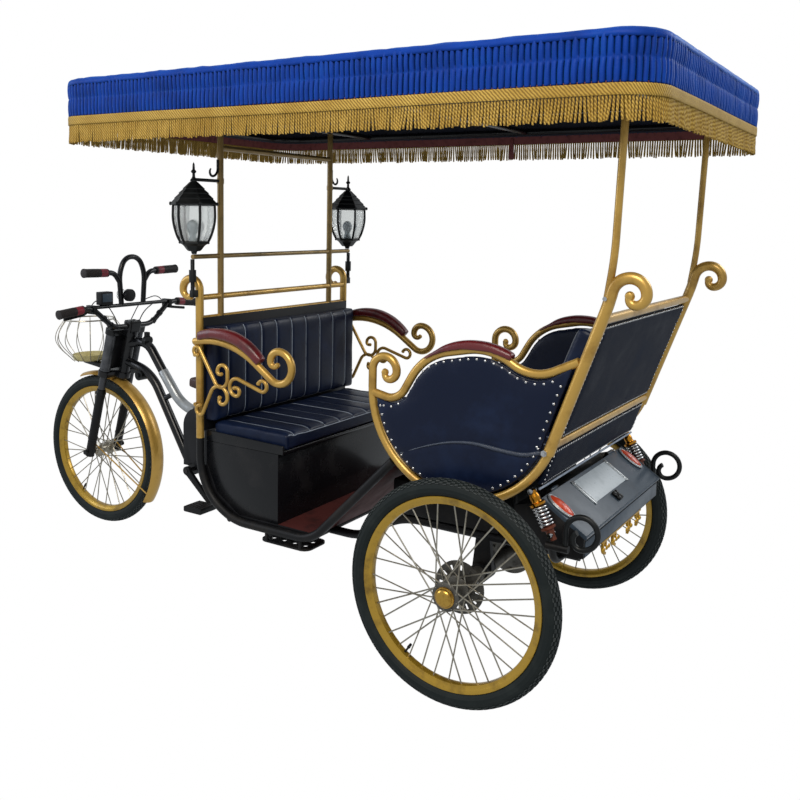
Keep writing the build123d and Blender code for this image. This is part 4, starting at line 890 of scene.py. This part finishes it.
def sidePanelOutline():
    # the runs of nails inside the panel's edge: round the trough, along the rail, down the back
    start, square, inset = Vector(tub["start"]), radians(tub["heading"] - 90), nailed["inset"]
    shift = start + Vector((cos(square), sin(square))) * (inset + 4) - start
    trough = [p + shift for p in wroughtPath(start, tub["heading"], [(tub["radius"] - inset - 4, -150)], 5.0)]
    below = [Vector((p.x, p.y - inset)) for p in flatPath(tub["armRail"], 10)]
    first = next(i for i, p in enumerate(below) if p.x > trough[-1].x + 4 and p.y < 1200)
    edge = [p for p in below[first:] if p.x < 262]
    back = start + Vector((-sin(tubLean), cos(tubLean))) * (inset + 8)
    rise = [back + Vector((cos(tubLean), sin(tubLean))) * s for s in (190, 150, 110, 70, 30, 6)]
    return trough[::-1], edge, [p for p in rise if p.y < edge[-1].y - 6]


def makeSidePanels():
    seam = flatPath(nailed["seam"], 4)

    def seamDepth(point, normal):
        if abs(normal.y) <= 0.6:
            return 0.0
        flat = Vector((point.x - stance["rearAxle"], point.z, 0))
        near = 1000.0
        for a, b in zip(seam, seam[1:]):
            share = max(0.0, min(1.0, (flat - a).dot(b - a) / (b - a).length_squared))
            near = min(near, ((flat - a) - (b - a) * share).length)
        sag = 5.0 * max(0.0, 1 - hypot((flat.x - 95) / 110, (flat.y - 792) / 26))
        return sag - 3.0 * max(0.0, 1 - near / 12.0)

    panels = softPiece("rearSidePanels", "side_panels", "navyLeather", 7.0, 6.0, 0.6, 0.5, 4, seamDepth)
    skin = skinOf(panels)
    runs = sidePanelOutline()
    for hand, side in hands:
        nails = bmesh.new()
        for run in runs:
            spots = evenly([sidePoint(p.x, side * 480, p.y) for p in run], nailed["pitch"])
            for spot in layOn(skin, spots, (0, -side, 0), -0.4):
                addDome(nails, spot, (0, side, 0), nailed["radius"], nailed["height"])
        keepPiece("sideNails" + hand, nails, "chromePlate", smooth=60)
        # the seam ridge, painted paler as a highlight along the fold
        fold = bmesh.new()
        laid = layOn(skin, [sidePoint(p.x, side * 480, p.y) for p in seam], (0, -side, 0), 0.2)
        swell = [0.25 + 0.75 * min(1.0, 1.6 * step / len(laid)) for step in range(len(laid))]
        addBar(fold, laid, 6.5, 12, swell)
        keepPiece("sideSeamHighlight" + hand, fold, "foldHighlightLeather")


def backPoint(along, ahead, y):
    return sidePoint(tub["start"][0] + along * cos(tubLean) - ahead * sin(tubLean), y,
                     tub["start"][1] + along * sin(tubLean) + ahead * cos(tubLean))


def makeBackPanels():
    skin = skinOf(softPiece("rearBackPanels", "back_panels", "backLeather", 7.0, 5.0, 0.6, 0.5))
    behind = Vector((sin(tubLean), 0, -cos(tubLean)))
    nails = bmesh.new()
    half = stance["sideY"] - 30
    for low, high in ((50.6, 371.6), (-97, 2.6)):
        for ends in (((low, -half), (low, half)), ((high, -half), (high, half)),
                     ((low + 14, -half), (high - 14, -half)), ((low + 14, half), (high - 14, half))):
            run = [backPoint(along, -30, y) for along, y in ends]
            for spot in layOn(skin, evenly(run, nailed["backPitch"]), -behind, -0.3):
                addDome(nails, spot, behind, nailed["backRadius"], 2.6, 6)
    keepPiece("backNails", nails, "chromePlate", smooth=60)
    strip = bmesh.new()
    addRod(strip, backPoint(-109, -9, -408), backPoint(-109, -9, 408), 3.4, sides=10)
    keepPiece("backEdgeStrip", strip, "palePiping")


def channelled(pitch, width, facing):
    # sewn grooves a pitch apart across the width, on the side that faces one way
    def depthAt(point, normal):
        if normal.dot(Vector(facing)) < 0.35:
            return 0.0
        away = abs((point.y + pitch / 2) % pitch - pitch / 2)
        return -4.0 * max(0.0, 1 - away / width) ** 1.3 + 1.2 * sin(pi * min(1.0, away / (pitch / 2)) / 2)
    return depthAt


def makePiping(name, cushion, runs, toward):
    skin, piping = skinOf(cushion), bmesh.new()
    for run in runs:
        laid = layOn(skin, evenly(run, 12.0), toward, 0.2, 160.0)
        if len(laid) > 2:
            addBar(piping, laid, 1.6, 6)
    keepPiece(name, piping, "palePiping")


def makeSeats():
    bench, tubSeat = (6.5, 6.0, 2.6, 0.7, 3), (7.0, 9.0, 3.5, 0.75, 3)
    seams = [k * 88.0 for k in range(-4, 5)]
    seat = softPiece("benchCushion", "bench_cushion", "navyLeather", *bench, channelled(88.0, 9.0, (0, 0, 1)))
    backing = bmesh.new()
    addBox(backing, sidePoint(-1014.5, 0, 832), (2.5, 848, 392), 0.8)
    keepPiece("benchBacking", backing, "blackAbs")
    runs = [[sidePoint(-985, y, 700), sidePoint(-680, y, 700)] for y in seams + [-418, 418]]
    runs.append([sidePoint(-680, -418, 700), sidePoint(-680, 418, 700)])
    makePiping("benchSeatPiping", seat, runs, (0, 0, -1))
    back = softPiece("benchBackrest", "bench_backrest", "navyLeather", *bench,
                     channelled(88.0, 9.0, (1, 0, 0)))
    makePiping("benchBackPiping", back, [[sidePoint(-900, y, 684), sidePoint(-900, y, 994)] for y in seams],
               (-1, 0, 0))
    cushion = softPiece("rearCushion", "rear_cushion", "navyLeather", *tubSeat,
                        channelled(100.0, 10.0, (0, 0, 1)))
    makePiping("rearSeatPiping", cushion,
               [[sidePoint(-205, k * 100.0, 720), sidePoint(150, k * 100.0, 720)] for k in range(-4, 5)],
               (0, 0, -1))
    rest = softPiece("rearBackCushion", "rear_backrest", "navyLeather", *tubSeat,
                     channelled(100.0, 10.0, (-1, 0, 0.2)))
    makePiping("rearBackPiping", rest, [[backPoint(44, 100, k * 100.0), backPoint(340, 100, k * 100.0)]
                                        for k in range(-3, 4)], (sin(tubLean), 0, -cos(tubLean)))
    softPiece("benchArmPads", "bench_arm_pads", "burgundyLeather", 4.5, 5.0, 1.0, 0.8, 14)
    softPiece("rearArmPads", "rear_arm_pads", "burgundyLeather", 4.5, 5.0, 1.0, 0.8, 14)
    softPiece("saddleCover", "saddle", "saddleLeather", 4.5, 7.0, 2.5, 0.8, 4)


makeSidePanels()
makeBackPanels()
makeSeats()
dressNode("seat_pan", "blackEnamel")
print("leather work made")


# Lanterns: six-sided, with a stepped roof and bowed panes between thin bars

lantern = {
    "y": 450.0, "corner": 30.0, "armZ": 1490,
    "bars": [(1284, 47.0), (1300, 56.0), (1330, 66.0), (1362, 71.5), (1404, 70.0)],
    "panes": [(1286, 42.0), (1300, 51.0), (1330, 61.0), (1362, 66.5), (1403, 65.0)],
    "roof": [(1403, 66), (1404, 72), (1407, 80), (1411, 80.5), (1414, 77), (1426, 65), (1429, 66), (1432, 62),
             (1443, 50), (1446, 51), (1449, 47), (1458, 36), (1461, 37), (1464, 33), (1474, 22), (1482, 14)],
    "base": [(1253, 0), (1253, 20), (1256, 24), (1262, 29), (1270, 35), (1275, 41), (1277, 46), (1281, 50),
             (1286, 49), (1287, 44), (1286, 0)],
    "finial": [(1476, 9), (1484, 11), (1488, 12), (1492, 9), (1498, 5), (1510, 4.4), (1513, 8), (1516, 9),
               (1519, 8), (1522, 4.4), (1540, 3.4), (1547.5, 0)],
    "bulb": [(1284, 15), (1304, 15), (1305, 9), (1316, 12), (1330, 19), (1342, 20), (1352, 15), (1358, 6),
             (1359, 0)],
}


def makeLanterns():
    corner = radians(lantern["corner"])
    out = Vector((cos(corner), sin(corner), 0))
    for hand, side in hands:
        y = side * lantern["y"]
        foot = benchPoint(y, 0)
        iron = bmesh.new()
        for profile in (lantern["roof"], lantern["base"]):
            spinProfile(iron, profile, foot, upward, out, 6)
        closeSkin(iron)
        spinProfile(iron, lantern["finial"], foot, upward, out, 20)
        addRod(iron, foot + upward * 1404, foot + upward * 1404.5, 71, sides=6)
        for count in range(6):
            way = corner + count * pi / 3
            spoke = Vector((cos(way), sin(way), 0))
            bar = bentPath([foot + spoke * reach + upward * height for height, reach in lantern["bars"]])
            addBar(iron, bar, 4.4, 8)
            addDome(iron, foot + spoke * 79 + upward * 1410, upward, 4.5, 7.0)
            addDome(iron, foot + spoke * 49 + upward * 1281, spoke, 4.5, 3.5)
        addRod(iron, foot + upward * 1243, foot + upward * 1256, 8, 12)
        addRod(iron, benchPoint(side * 332.4, lantern["armZ"]), benchPoint(y, lantern["armZ"]), 5.6)
        curl = wroughtPath((side * 334.5, 1562), -90, [(30, 0), (27, side * 80), (14, side * 150)], 12.0)
        addBar(iron, [benchPoint(p.x, p.y) for p in curl], 4.2, 10, curlTaper(curl, 8, 0.6))
        keepPiece("lanternIron" + hand, iron, "castBlack", ["lanterns"], smooth=30)
        panes = spunShape(lantern["panes"], foot, upward, out, 6)
        keepPiece("lanternPanes" + hand, panes, "lanternGlass", ["lantern_glass"], smooth=30)
        bulb = bmesh.new()
        spinProfile(bulb, lantern["bulb"], foot, upward, out, 24)
        keepPiece("lanternBulb" + hand, bulb, "plateWhite")
    dressNode("lantern_brackets", "castBlack", edge=1.2)


# Bench ironwork: smooth posts, rails and arms over the CAD's own lines

bench = {
    "postTube": 14.0, "postFoot": (0, 610.3), "canopyPostY": 321.0, "armY": 451.8,
    "post": [(509.7, 0), (38, 180), (26, 110)],
    "armStart": (2, 948), "armHeading": 10, "arm": [(24, 0), (330, -45), (78, 0), (52, 215), (34, 90),
                                                    (16, 140)],
    "scrolls": [((15.8, 901.9), 192.5, [(15, -250), (127, 0), (30, 147.5), (24, 0), (22, 180), (11, 120)]),
                ((282.3, 835.4), 63, [(18, -260), (100, 0), (30, 107), (28, 90), (14, 210)]),
                ((26.3, 731), 173.8, [(16, 250), (85, 0), (40, -63.8), (36, -90), (24, -90), (13, -130)])],
    "rails": [(1022, 11, 425), (1095, 10, 425), (694, 11, 425)],
    "upperRails": [(1234, 8, 458), (1602, 9, 321)],
}


def benchRails(rows):
    shape = bmesh.new()
    for height, radius, half in rows:
        addRod(shape, benchPoint(-half, height), benchPoint(half, height), radius, sides=16)
    return shape


def makeBenchIron():
    post = wroughtPath(bench["postFoot"], 90, bench["post"], 6.0)
    arm = wroughtPath(bench["armStart"], bench["armHeading"], bench["arm"], 5.0)
    for hand, side in hands:
        y, armY = side * stance["sideY"], side * bench["armY"]
        iron = bmesh.new()
        addCurl(iron, post, y, "bench", bench["postTube"], 18, 26, 0.68, 12, 11)
        addCurl(iron, arm, armY, "bench", 12.5, 16, 34, 0.6, 9, 9)
        for start, heading, runs in bench["scrolls"]:
            scroll = wroughtPath(start, heading, runs, 7.0)
            addBar(iron, onSide(scroll, armY, "bench"), 6.4, 12, curlTaper(scroll, 12, 0.75))
            for tip in (scroll[0], scroll[-1]):
                addDome(iron, sidePoint(tip.x, armY, tip.y, "bench"), (0, side, 0), 7.6, 7.4, 10)
        for height in (945, 902, 731):
            addRod(iron, benchPoint(y, height), benchPoint(armY, height), 7.0)
        keepPiece("benchIron" + hand, iron, "goldLacquer", ["bench_frame", "bench_arms"])
    keepPiece("benchRails", benchRails(bench["rails"]), "goldLacquer", ["bench_frame"])
    bronze = benchRails(bench["upperRails"])
    for side in (-1, 1):
        y = side * bench["canopyPostY"]
        addRod(bronze, benchPoint(y, 1022), benchPoint(y, 1701.7), 11, sides=18)
        for height in (1234, 1490):
            addRod(bronze, benchPoint(y, height - 9), benchPoint(y, height + 9), 12.6, sides=18)
    keepPiece("benchPosts", bronze, "bronzeLacquer", ["bench_frame"])


makeLanterns()
makeBenchIron()
dressNode("bench_box", "blackEnamel", edge=2.0)
dressNode("bench_board", "blackEnamel", edge=2.0)
print("lanterns and bench iron made")


# Front: basket, fork shrouds, handlebar, cables and fittings

basket = {
    "x": -1196.0, "long": 1.25, "rods": 16, "rim": (905.0, 92.0),
    "belly": [(722, 62), (748, 84), (778, 109), (806, 123), (825, 126), (850, 122), (880, 108), (905, 92)],
    "tray": [(722, 0), (722, 54), (725, 60), (732, 63.5), (744, 65.5), (748, 66.5), (750, 65), (748, 62.5),
             (733, 58), (729, 0)],
}
bars = {
    "radius": 11.0, "hoop": [(60, 97), (70, 223), (38, 293)], "low": [(105, 0), (215, 91), (372, 75)],
    "high": [(70, 193), (97, 229), (248, 233)],
}
barAt = forkPoint(606.0, 35.0)


def makeBasket():
    def oval(height, across, way):
        return Vector((basket["x"] + across * cos(way), basket["long"] * across * sin(way), height))

    wires = bmesh.new()
    for count in range(basket["rods"]):
        way = (count + 0.5) * 2 * pi / basket["rods"]
        addBar(wires, bentPath([oval(*section, way) for section in basket["belly"]], steps=3), 1.7, 6)
    addBar(wires, [oval(*basket["rim"], step * pi / 36) for step in range(73)], 3.2, 8)
    keepPiece("basketWires", wires, "spokeSteel", ["basket"], "steering")
    tray = spunShape(basket["tray"], (basket["x"], 0, 0), upward, (1, 0, 0), 48)
    for vert in tray.verts:
        vert.co.y *= basket["long"]
    keepPiece("basketTray", tray, "trayCream", ["basket"], "steering")
    carrier = bmesh.new()
    root = forkPoint(372, -26.3)
    outline = ((basket["x"] - 30, 721.5), (basket["x"] + 30, 721.5), (root.x, root.z + 10),
               (root.x, root.z - 8), (basket["x"] - 20, 708))
    addSlab(carrier, [(x, -20, z) for x, z in outline], (0, 40, 0), 2.0)
    keepPiece("basketCarrier", carrier, "blackEnamel", ["basket"], "steering")


def makeFork():
    shrouds, seals, casing = bmesh.new(), bmesh.new(), bmesh.new()
    for y in (-75.0, 75.0):
        # where along the leg, radii and sides
        for shape, start, end, radius, radiusEnd, sides in (
                (shrouds, 386.5, 551.5, 21.5, None, 28), (shrouds, 388, 396, 23, None, 28),
                (shrouds, 300, 360.5, 15.4, None, 24), (seals, 283, 297, 21, 18, 24),
            (seals, 276, 284, 22, None, 24),
                (seals, 60, 66, 20.4, None, 24), (seals, 578, 586, 12, 9, 16)):
            addRod(shape, forkPoint(start, 0, y), forkPoint(end, 0, y), radius, radiusEnd, sides)
        addRod(seals, forkPoint(2, 0, y * 1.3), forkPoint(2, 0, y * 1.42), 11, sides=6)
    keepPiece("forkShrouds", shrouds, "forkGrey", body="steering")
    keepPiece("forkSeals", seals, "castBlack", body="steering")
    lean = Matrix.Rotation(radians(stance["rake"]), 4, "Y")
    addBox(casing, forkPoint(470, -16), (46, 102, 158), 6, lean)
    addBox(casing, forkPoint(470, -41), (6, 78, 128), 2.5, lean)
    for rib in range(7):
        addBox(casing, forkPoint(425 + rib * 15, -45.5), (5, 66, 4), 1.2, lean)
    addBox(casing, forkPoint(398, 14, 48), (20, 6, 20), 1.5, lean)
    keepPiece("controllerCase", casing, "blackAbs", body="steering")
    dressNode("fork", "blackEnamel", edge=1.5)
    dressNode("fork_lowers", "chassisPaint", edge=1.0)
    dressNode("front_fender", "goldLacquer", 40)


def barPoint(across, up, ahead=0.0):
    return Vector((barAt.x - ahead, across, barAt.z - 8.0 + up))


def makeBars():
    tubes, bands, ribs, fittings, cables = (bmesh.new() for part in range(5))
    for half, reach in ((bars["low"][::-1], 36.0), (bars["hoop"], 60.0)):
        ends = [(-across, up) for across, up in half] + half[::-1]
        addBar(tubes, bentPath([barPoint(across, up) for across, up in ends], reach), bars["radius"], 16)
    addRod(tubes, barPoint(-205, 91), barPoint(205, 91), 8, sides=14)
    for side in (-1, 1):
        high = bentPath([barPoint(side * across, up) for across, up in bars["high"]])
        addBar(tubes, high, bars["radius"], 16)
        for stem in (bars["low"], bars["high"]):
            tip, root = barPoint(side * stem[2][0], stem[2][1]), barPoint(side * stem[1][0], stem[1][1])
            inward = (root - tip).normalized()
            addRod(bands, tip + inward * 76, tip + inward * 108, 17.5, sides=20)
            for count in range(9):
                at = tip + inward * (2 + count * 8)
                addRod(ribs, at, at + inward * 4, 17.9, sides=20)
            addRod(ribs, tip - inward * 4.8, tip + inward * 1, 18.8, sides=20)
        for across, up in ((112, 7), (150, 38)):
            addRod(fittings, barPoint(side * across, up), barPoint(side * (across + 9), up + 8), 13.5,
                   sides=16)
        for between, foot, radius in ((((180, 92, 44), (118, 50, 60), (66, -30, 56)), (545, -30, side * 52),
                                       2.4),
                                      (((170, 120, 30), (92, 96, 52), (40, 20, 52)), (548, -26, side * 24),
                                       2.1)):
            run = [barPoint(side * across, up, ahead) for across, up, ahead in ((208, 80, 26), *between)]
            addBar(cables, bentPath(run + [forkPoint(*foot)], steps=6), radius, 8)
    addBox(fittings, barPoint(0, 14), (44, 58, 12), 3)
    for across, ahead in ((-20, -14), (20, -14), (-20, 14), (20, 14)):
        addRod(fittings, barPoint(across, 18, ahead), barPoint(across, 24, ahead), 4.5, sides=6)
    keepPiece("handlebarTubes", tubes, "blackEnamel", ["handlebar"], "steering")
    keepPiece("gripBands", bands, "gripBand", body="steering")
    keepPiece("gripRibs", ribs, "gripRubber", body="steering")
    keepPiece("barFittings", fittings, "castBlack", body="steering")
    keepPiece("controlCables", cables, "blackAbs", body="steering")
    lens, display = bmesh.new(), bmesh.new()
    halfDome(lens, barPoint(-34, 133, 29.4), ((0, 1, 0), upward, (-1, 0, 0)), (25, 25, 9))
    keepPiece("barLampLens", lens, "lampGlass", body="steering")
    addBox(display, barPoint(-148, 129, -17), (3, 48, 34), 1.0)
    keepPiece("displayScreen", display, "slateEnamel", body="steering")
    dressNode("grips", "gripRubber", 30, 1.2)
    dressNode("controls", "blackAbs", 30, 0.8)


def makeFrontFrame():
    fittings, springs, treads = bmesh.new(), bmesh.new(), bmesh.new()
    clampAt = sidePoint(-1742, 0, 838)
    addRod(fittings, clampAt + Vector((-8, 0, 2)), clampAt + Vector((10, 0, -2)), 23, sides=20)
    addBox(fittings, clampAt + Vector((0, 0, 27)), (22, 16, 22), 3)
    for half, radius, sides in ((26, 22, 20), (33, 9, 6)):
        addRod(fittings, sidePoint(-1770, -half, 690), sidePoint(-1770, half, 690), radius, sides=sides)
    keepPiece("frameFittings", fittings, "castBlack")
    for side in (-1, 1):
        foot = sidePoint(-1292, side * 40, 605)
        addBar(springs, [foot + Vector((15 * cos(step * pi / 8), 15 * sin(step * pi / 8), step * 56 / 96))
                         for step in range(97)], 2.6, 8)
    keepPiece("saddleSprings", springs, "chromePlate")
    hub = sidePoint(0, 0, 343, "crank")
    for side, angle in ((-1, radians(318.0)), (1, radians(138.0))):
        end = hub + Vector((170 * cos(angle), 0, 170 * sin(angle)))
        for row in range(6):
            for face in (-1, 1):
                addBox(treads, end + Vector((-37 + row * 14.8, side * 140, face * 11)), (6, 74, 2.4), 0.8)
        addRod(treads, hub + sideways(side * 85), hub + sideways(side * 87.5), 9, sides=6)
    keepPiece("pedalTreads", treads, "gripRubber", body="cranks")
    for name, material, split, edge in (("front_frame", "blackEnamel", 40, 0.0),
                                        ("frame_sleeve", "silverPaint", 40, 0.8),
                                        ("battery_case", "blackAbs", 30, 1.0),
                                        ("saddle_post", "goldLacquer", 35, 0.8),
                                        ("crank_set", "chassisPaint", 35, 1.0)):
        dressNode(name, material, split, edge)


makeBasket()
makeFork()
makeBars()
makeFrontFrame()
print("front made")


# Rear: lid with its lamps, blank plate and latch, shocks and chassis

lid = {"hinge": (195.0, 598.0), "slope": 33.0, "thick": 8.0, "lampAt": 52.0, "lampY": 316.0, "plateAt": 56.0,
       "end": 160.0}
skirtOutline = [(-1013, 516), (-967, 424), (-870, 362), (-562, 361), (-562, 344), (-880, 344), (-985, 405),
                (-1030, 506)]
shock = {
    "foot": (256.0, 528.0), "head": (193.0, 641.0), "y": 414.0, "turns": 6.0, "low": 24.0, "high": 83.0,
    "coil": 18.0, "body": [(84, 0), (84, 19), (86, 22.5), (92, 22.5), (94, 19), (95, 14.5), (100, 13),
                           (104, 14.2), (112, 14.2),
             (116, 12.5), (128, 12.5), (132, 9), (136, 0)],
    "damper": [(-16, 0), (-16, 9), (-2, 9.5), (4, 12), (14, 13), (17, 21), (22, 21.5), (24, 19), (25, 11),
               (60, 11), (61, 7), (85, 7)],
}


def lidPoint(along, y, above):
    lean = radians(lid["slope"])
    return sidePoint(lid["hinge"][0] + along * cos(lean) + above * sin(lean), y,
                     lid["hinge"][1] - along * sin(lean) + above * cos(lean))


def makeLid():
    lean = radians(lid["slope"])
    across, upSlope, out = sideways(1), Vector((-cos(lean), 0, sin(lean))), Vector((sin(lean), 0, cos(lean)))
    axes = (across, upSlope, out)
    turn = Matrix(axes).transposed().to_4x4()
    top = lid["thick"] + 0.3
    for name, material, edge in (("rear_lid", "slateEnamel", 1.5), ("number_plate", "plateWhite", 0.5),
                                 ("latch", "castBlack", 1.2), ("rear_box", "chassisPaint", 1.5)):
        dressNode(name, material, 30, edge)
    wall = bmesh.new()
    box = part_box("rear_box")
    foot, brow = box[0][2] * 1000 + 4, lidPoint(lid["end"], 0, 0).z - 10
    addBox(wall, Vector((box[1][0] * 1000 + 0.9, 0, (foot + brow) / 2)), (1.8, 688, brow - foot), 0.5)
    keepPiece("rearBoxPanel", wall, "slateEnamel")
    for hand, side in hands:
        at = lidPoint(lid["lampAt"], side * lid["lampY"], top)
        lens, bezel = bmesh.new(), bmesh.new()
        halfDome(lens, at + out * 2.5, axes, (22, 44, 11), 10)
        for vert in lens.verts:
            if (vert.co - at).dot(out) > 4:
                vert.co += out * 0.5 * sin((vert.co - at).dot(upSlope) * 1.6)
        keepPiece("lampLens" + hand, lens, "lampLens", ["rear_lamps"], "lid", 50)
        for reach, radius, lift in ((24.5, 2.8, 2.8), (21.5, 1.5, 5.4)):
            ways = [step * pi / 32 for step in range(65)]
            ring = [at + out * lift + across * reach * cos(way) + upSlope * (reach + 22) * sin(way)
                    for way in ways]
            addBar(bezel, ring, radius, 10)
        keepPiece("lampBezel" + hand, bezel, "silverPaint", ["rear_lamps"], "lid")
    details, petals, beads = bmesh.new(), bmesh.new(), bmesh.new()
    for side in (-1, 1):
        centre = lidPoint(lid["plateAt"], 5 + side * 150, top + 2.6)
        addBox(details, centre, (7, 98, 2.4), 0.6, turn)
        addBox(details, centre - across * side * 10, (2.5, 94, 1.6), 0.4, turn)
        for rise in (-36, 36):
            addDome(details, centre - across * side * 5 + upSlope * rise, out, 4.2, 2.6, 10)
    keepPiece("plateBrackets", details, "silverPaint", body="lid")
    hub = lidPoint(122, 0, top + 6)
    for count in range(4):
        way = radians(45 + count * 90)
        leaf = across * cos(way) + upSlope * sin(way)
        halfDome(petals, hub + leaf * 11.5, (leaf, out.cross(leaf), out), (10, 7.5, 5.5), 5)
    halfDome(petals, hub, axes, (6.5, 6.5, 7), 5)
    keepPiece("latchPetals", petals, "castBlack", body="lid")
    for y in (-352.4, 352.4):
        addRod(beads, lidPoint(4, y, top), lidPoint(lid["end"], y, top), 2.2, sides=8)
    addRod(beads, lidPoint(lid["end"], -352, top - 0.6), lidPoint(lid["end"], 352, top - 0.6), 2.2, sides=8)
    keepPiece("lidBead", beads, "slateEnamel", body="lid")


def makeShocks():
    turns, low, high = shock["turns"], shock["low"], shock["high"]
    for hand, side in hands:
        start, end = (sidePoint(x, side * shock["y"], z) for x, z in (shock["foot"], shock["head"]))
        along = (end - start).normalized()
        out = along.cross(sideways(1)).normalized()
        body = spunShape(shock["body"], start, along, out, 32)
        keepPiece("shockBody" + hand, body, "goldAnodised", ["shocks"])
        coil, eyes, helix = bmesh.new(), bmesh.new(), []
        for step in range(193):
            share = step / 192
            way = share * turns * 2 * pi
            flat = min(1.0, share * 8, (1 - share) * 8)
            rise = low + (high - low) * (0.5 + (share - 0.5) * (0.92 + 0.08 * flat))
            helix.append(start + along * rise + (out * cos(way) + sideways(1) * sin(way)) * shock["coil"])
        addBar(coil, helix, 3.3, 10)
        keepPiece("shockSpring" + hand, coil, "chromePlate", ["shocks"])
        damper = spunShape(shock["damper"], start, along, out, 28)
        keepPiece("shockDamper" + hand, damper, "rustedSteel", ["shocks"])
        for at, radius in ((start, 8.0), (end - along * 2, 8.5)):
            addRod(eyes, at - sideways(14), at + sideways(14), radius, sides=18)
            addRod(eyes, at - sideways(19), at + sideways(19), 5.5, sides=6)
        keepPiece("shockEyes" + hand, eyes, "chromePlate", ["shocks"])


def makeChassis():
    for name, material, edge in (("chassis_frame", "chassisPaint", 0.0), ("rear_axle", "castAluminium", 1.0),
                                 ("motor", "castAluminium", 2.0), ("floor_plate", "floorBoard", 0.8),
                                 ("footboard", "floorBoard", 1.0), ("steps", "chassisPaint", 0.6),
                                 ("rear_scrolls", "castBlack", 0.0), ("box_trim", "gildedCasting", 1.2)):
        dressNode(name, material, 36, edge)
    fins, skirts, case, rosettes = (bmesh.new() for part in range(4))
    centre = sidePoint(0, 0, stance["axleHeight"])
    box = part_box("motor")
    half, radius = box[1][1] * 1000, (box[1][2] - box[0][2]) * 500
    for side in (-1, 1):
        for count in range(8):
            way = count * pi / 4
            at = centre + Vector((cos(way) * radius * 0.82, side * half, sin(way) * radius * 0.82))
            addRod(fins, at, at + sideways(side * 5), 5.5, sides=6)
    for count in range(11):
        at = centre + sideways(-half * 0.8 + count * half * 0.16)
        addRod(fins, at - sideways(1.5), at + sideways(1.5), radius + 1.5, sides=48)
    keepPiece("motorFins", fins, "castAluminium")
    # sealing skirts between the bench box, the floor and the side tubes
    for y in (-411.4, 408.4):
        addSlab(skirts, [sidePoint(x, y, z) for x, z in skirtOutline], (0, 3, 0), 0.3)
    keepPiece("floorSkirts", skirts, "blackAbs")
    # the battery case on the rails under the rear seat, with three straps
    addBox(case, sidePoint(-128, 0, 511), (368, 640, 110), 8)
    for y in (-210, 0, 210):
        addBox(case, sidePoint(-128, y, 512), (373, 26, 114), 2)
    keepPiece("underSeatCase", case, "chassisPaint")
    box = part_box("box_trim")
    for side in (-1, 1):
        for place in (60, 86, 40, 150, 176, 130):
            at = Vector((box[1][0] * 1000, side * place, (box[0][2] + box[1][2]) * 500 - 4))
            halfDome(rosettes, at, ((0, 1, 0), upward, (1, 0, 0)), (9, 7, 5), 4)
    keepPiece("trimRosettes", rosettes, "gildedCasting")


makeLid()
makeShocks()
makeChassis()
print("rear and chassis made")


# Stage, light and camera

def placeObject(name, data):
    holder = bpy.data.objects.new(name, data)
    scene.collection.objects.link(holder)
    return holder


def makeStage():
    world = bpy.data.worlds.new("studio")
    scene.world = world
    world.use_nodes = True
    tree = world.node_tree
    tree.nodes.clear()
    path = addNode(tree, "ShaderNodeLightPath")
    seen = addNode(tree, "ShaderNodeMath",
                   {0: path.outputs["Is Camera Ray"], 1: path.outputs["Is Transmission Ray"]},
                   operation="MAXIMUM")
    soft = addNode(tree, "ShaderNodeBackground", {"Color": hexColour("#E9EEF2"), "Strength": 0.62})
    white = addNode(tree, "ShaderNodeBackground", {"Color": (1.0, 1.0, 1.0, 1.0), "Strength": 1.0})
    mixed = addNode(tree, "ShaderNodeMixShader",
                    {0: seen.outputs[0], 1: soft.outputs[0], 2: white.outputs[0]})
    addNode(tree, "ShaderNodeOutputWorld", {"Surface": mixed.outputs[0]})
    for name, place, size, power, colour in (
            ("keyLight", (1.6, -3.4, 4.2), (2.6, 2.0), 150.0, "#FFF7EC"),
            ("fillLight", (-4.2, -2.6, 2.6), (2.4, 2.4), 60.0, "#EAF1FF"),
            ("backLight", (3.2, 3.4, 3.4), (2.4, 1.6), 70.0, "#FFFFFF")):
        lamp = bpy.data.lights.new(name, "AREA")
        lamp.shape, lamp.energy, lamp.color = "RECTANGLE", power, hexColour(colour)[:3]
        lamp.size, lamp.size_y = size
        holder = placeObject(name, lamp)
        holder.location = place
        holder.rotation_euler = (Vector((0, 0, 0.9)) - Vector(place)).to_track_quat("-Z", "Y").to_euler()


def makeCamera():
    # the photograph's own place and lens
    swing, tilt, roll = radians(32.1), radians(-6.8), radians(1.1)
    ahead = Vector((-sin(swing) * cos(tilt), cos(swing) * cos(tilt), sin(tilt)))
    right = Vector((cos(swing), sin(swing), 0))
    up = right.cross(ahead)
    right, up = cos(roll) * right + sin(roll) * up, cos(roll) * up - sin(roll) * right
    camera = bpy.data.cameras.new("photoView")
    camera.sensor_width, camera.lens, camera.shift_x, camera.shift_y = 36.0, 40.78, 0.017, -0.0949
    holder = placeObject("photoView", camera)
    turn = Matrix((right, up, -ahead)).transposed().to_4x4()
    holder.matrix_world = Matrix.Translation((2.0379, -2.6811, 1.3819)) @ turn
    scene.camera = holder


makeStage()
makeCamera()
scene.view_settings.view_transform = "Standard"
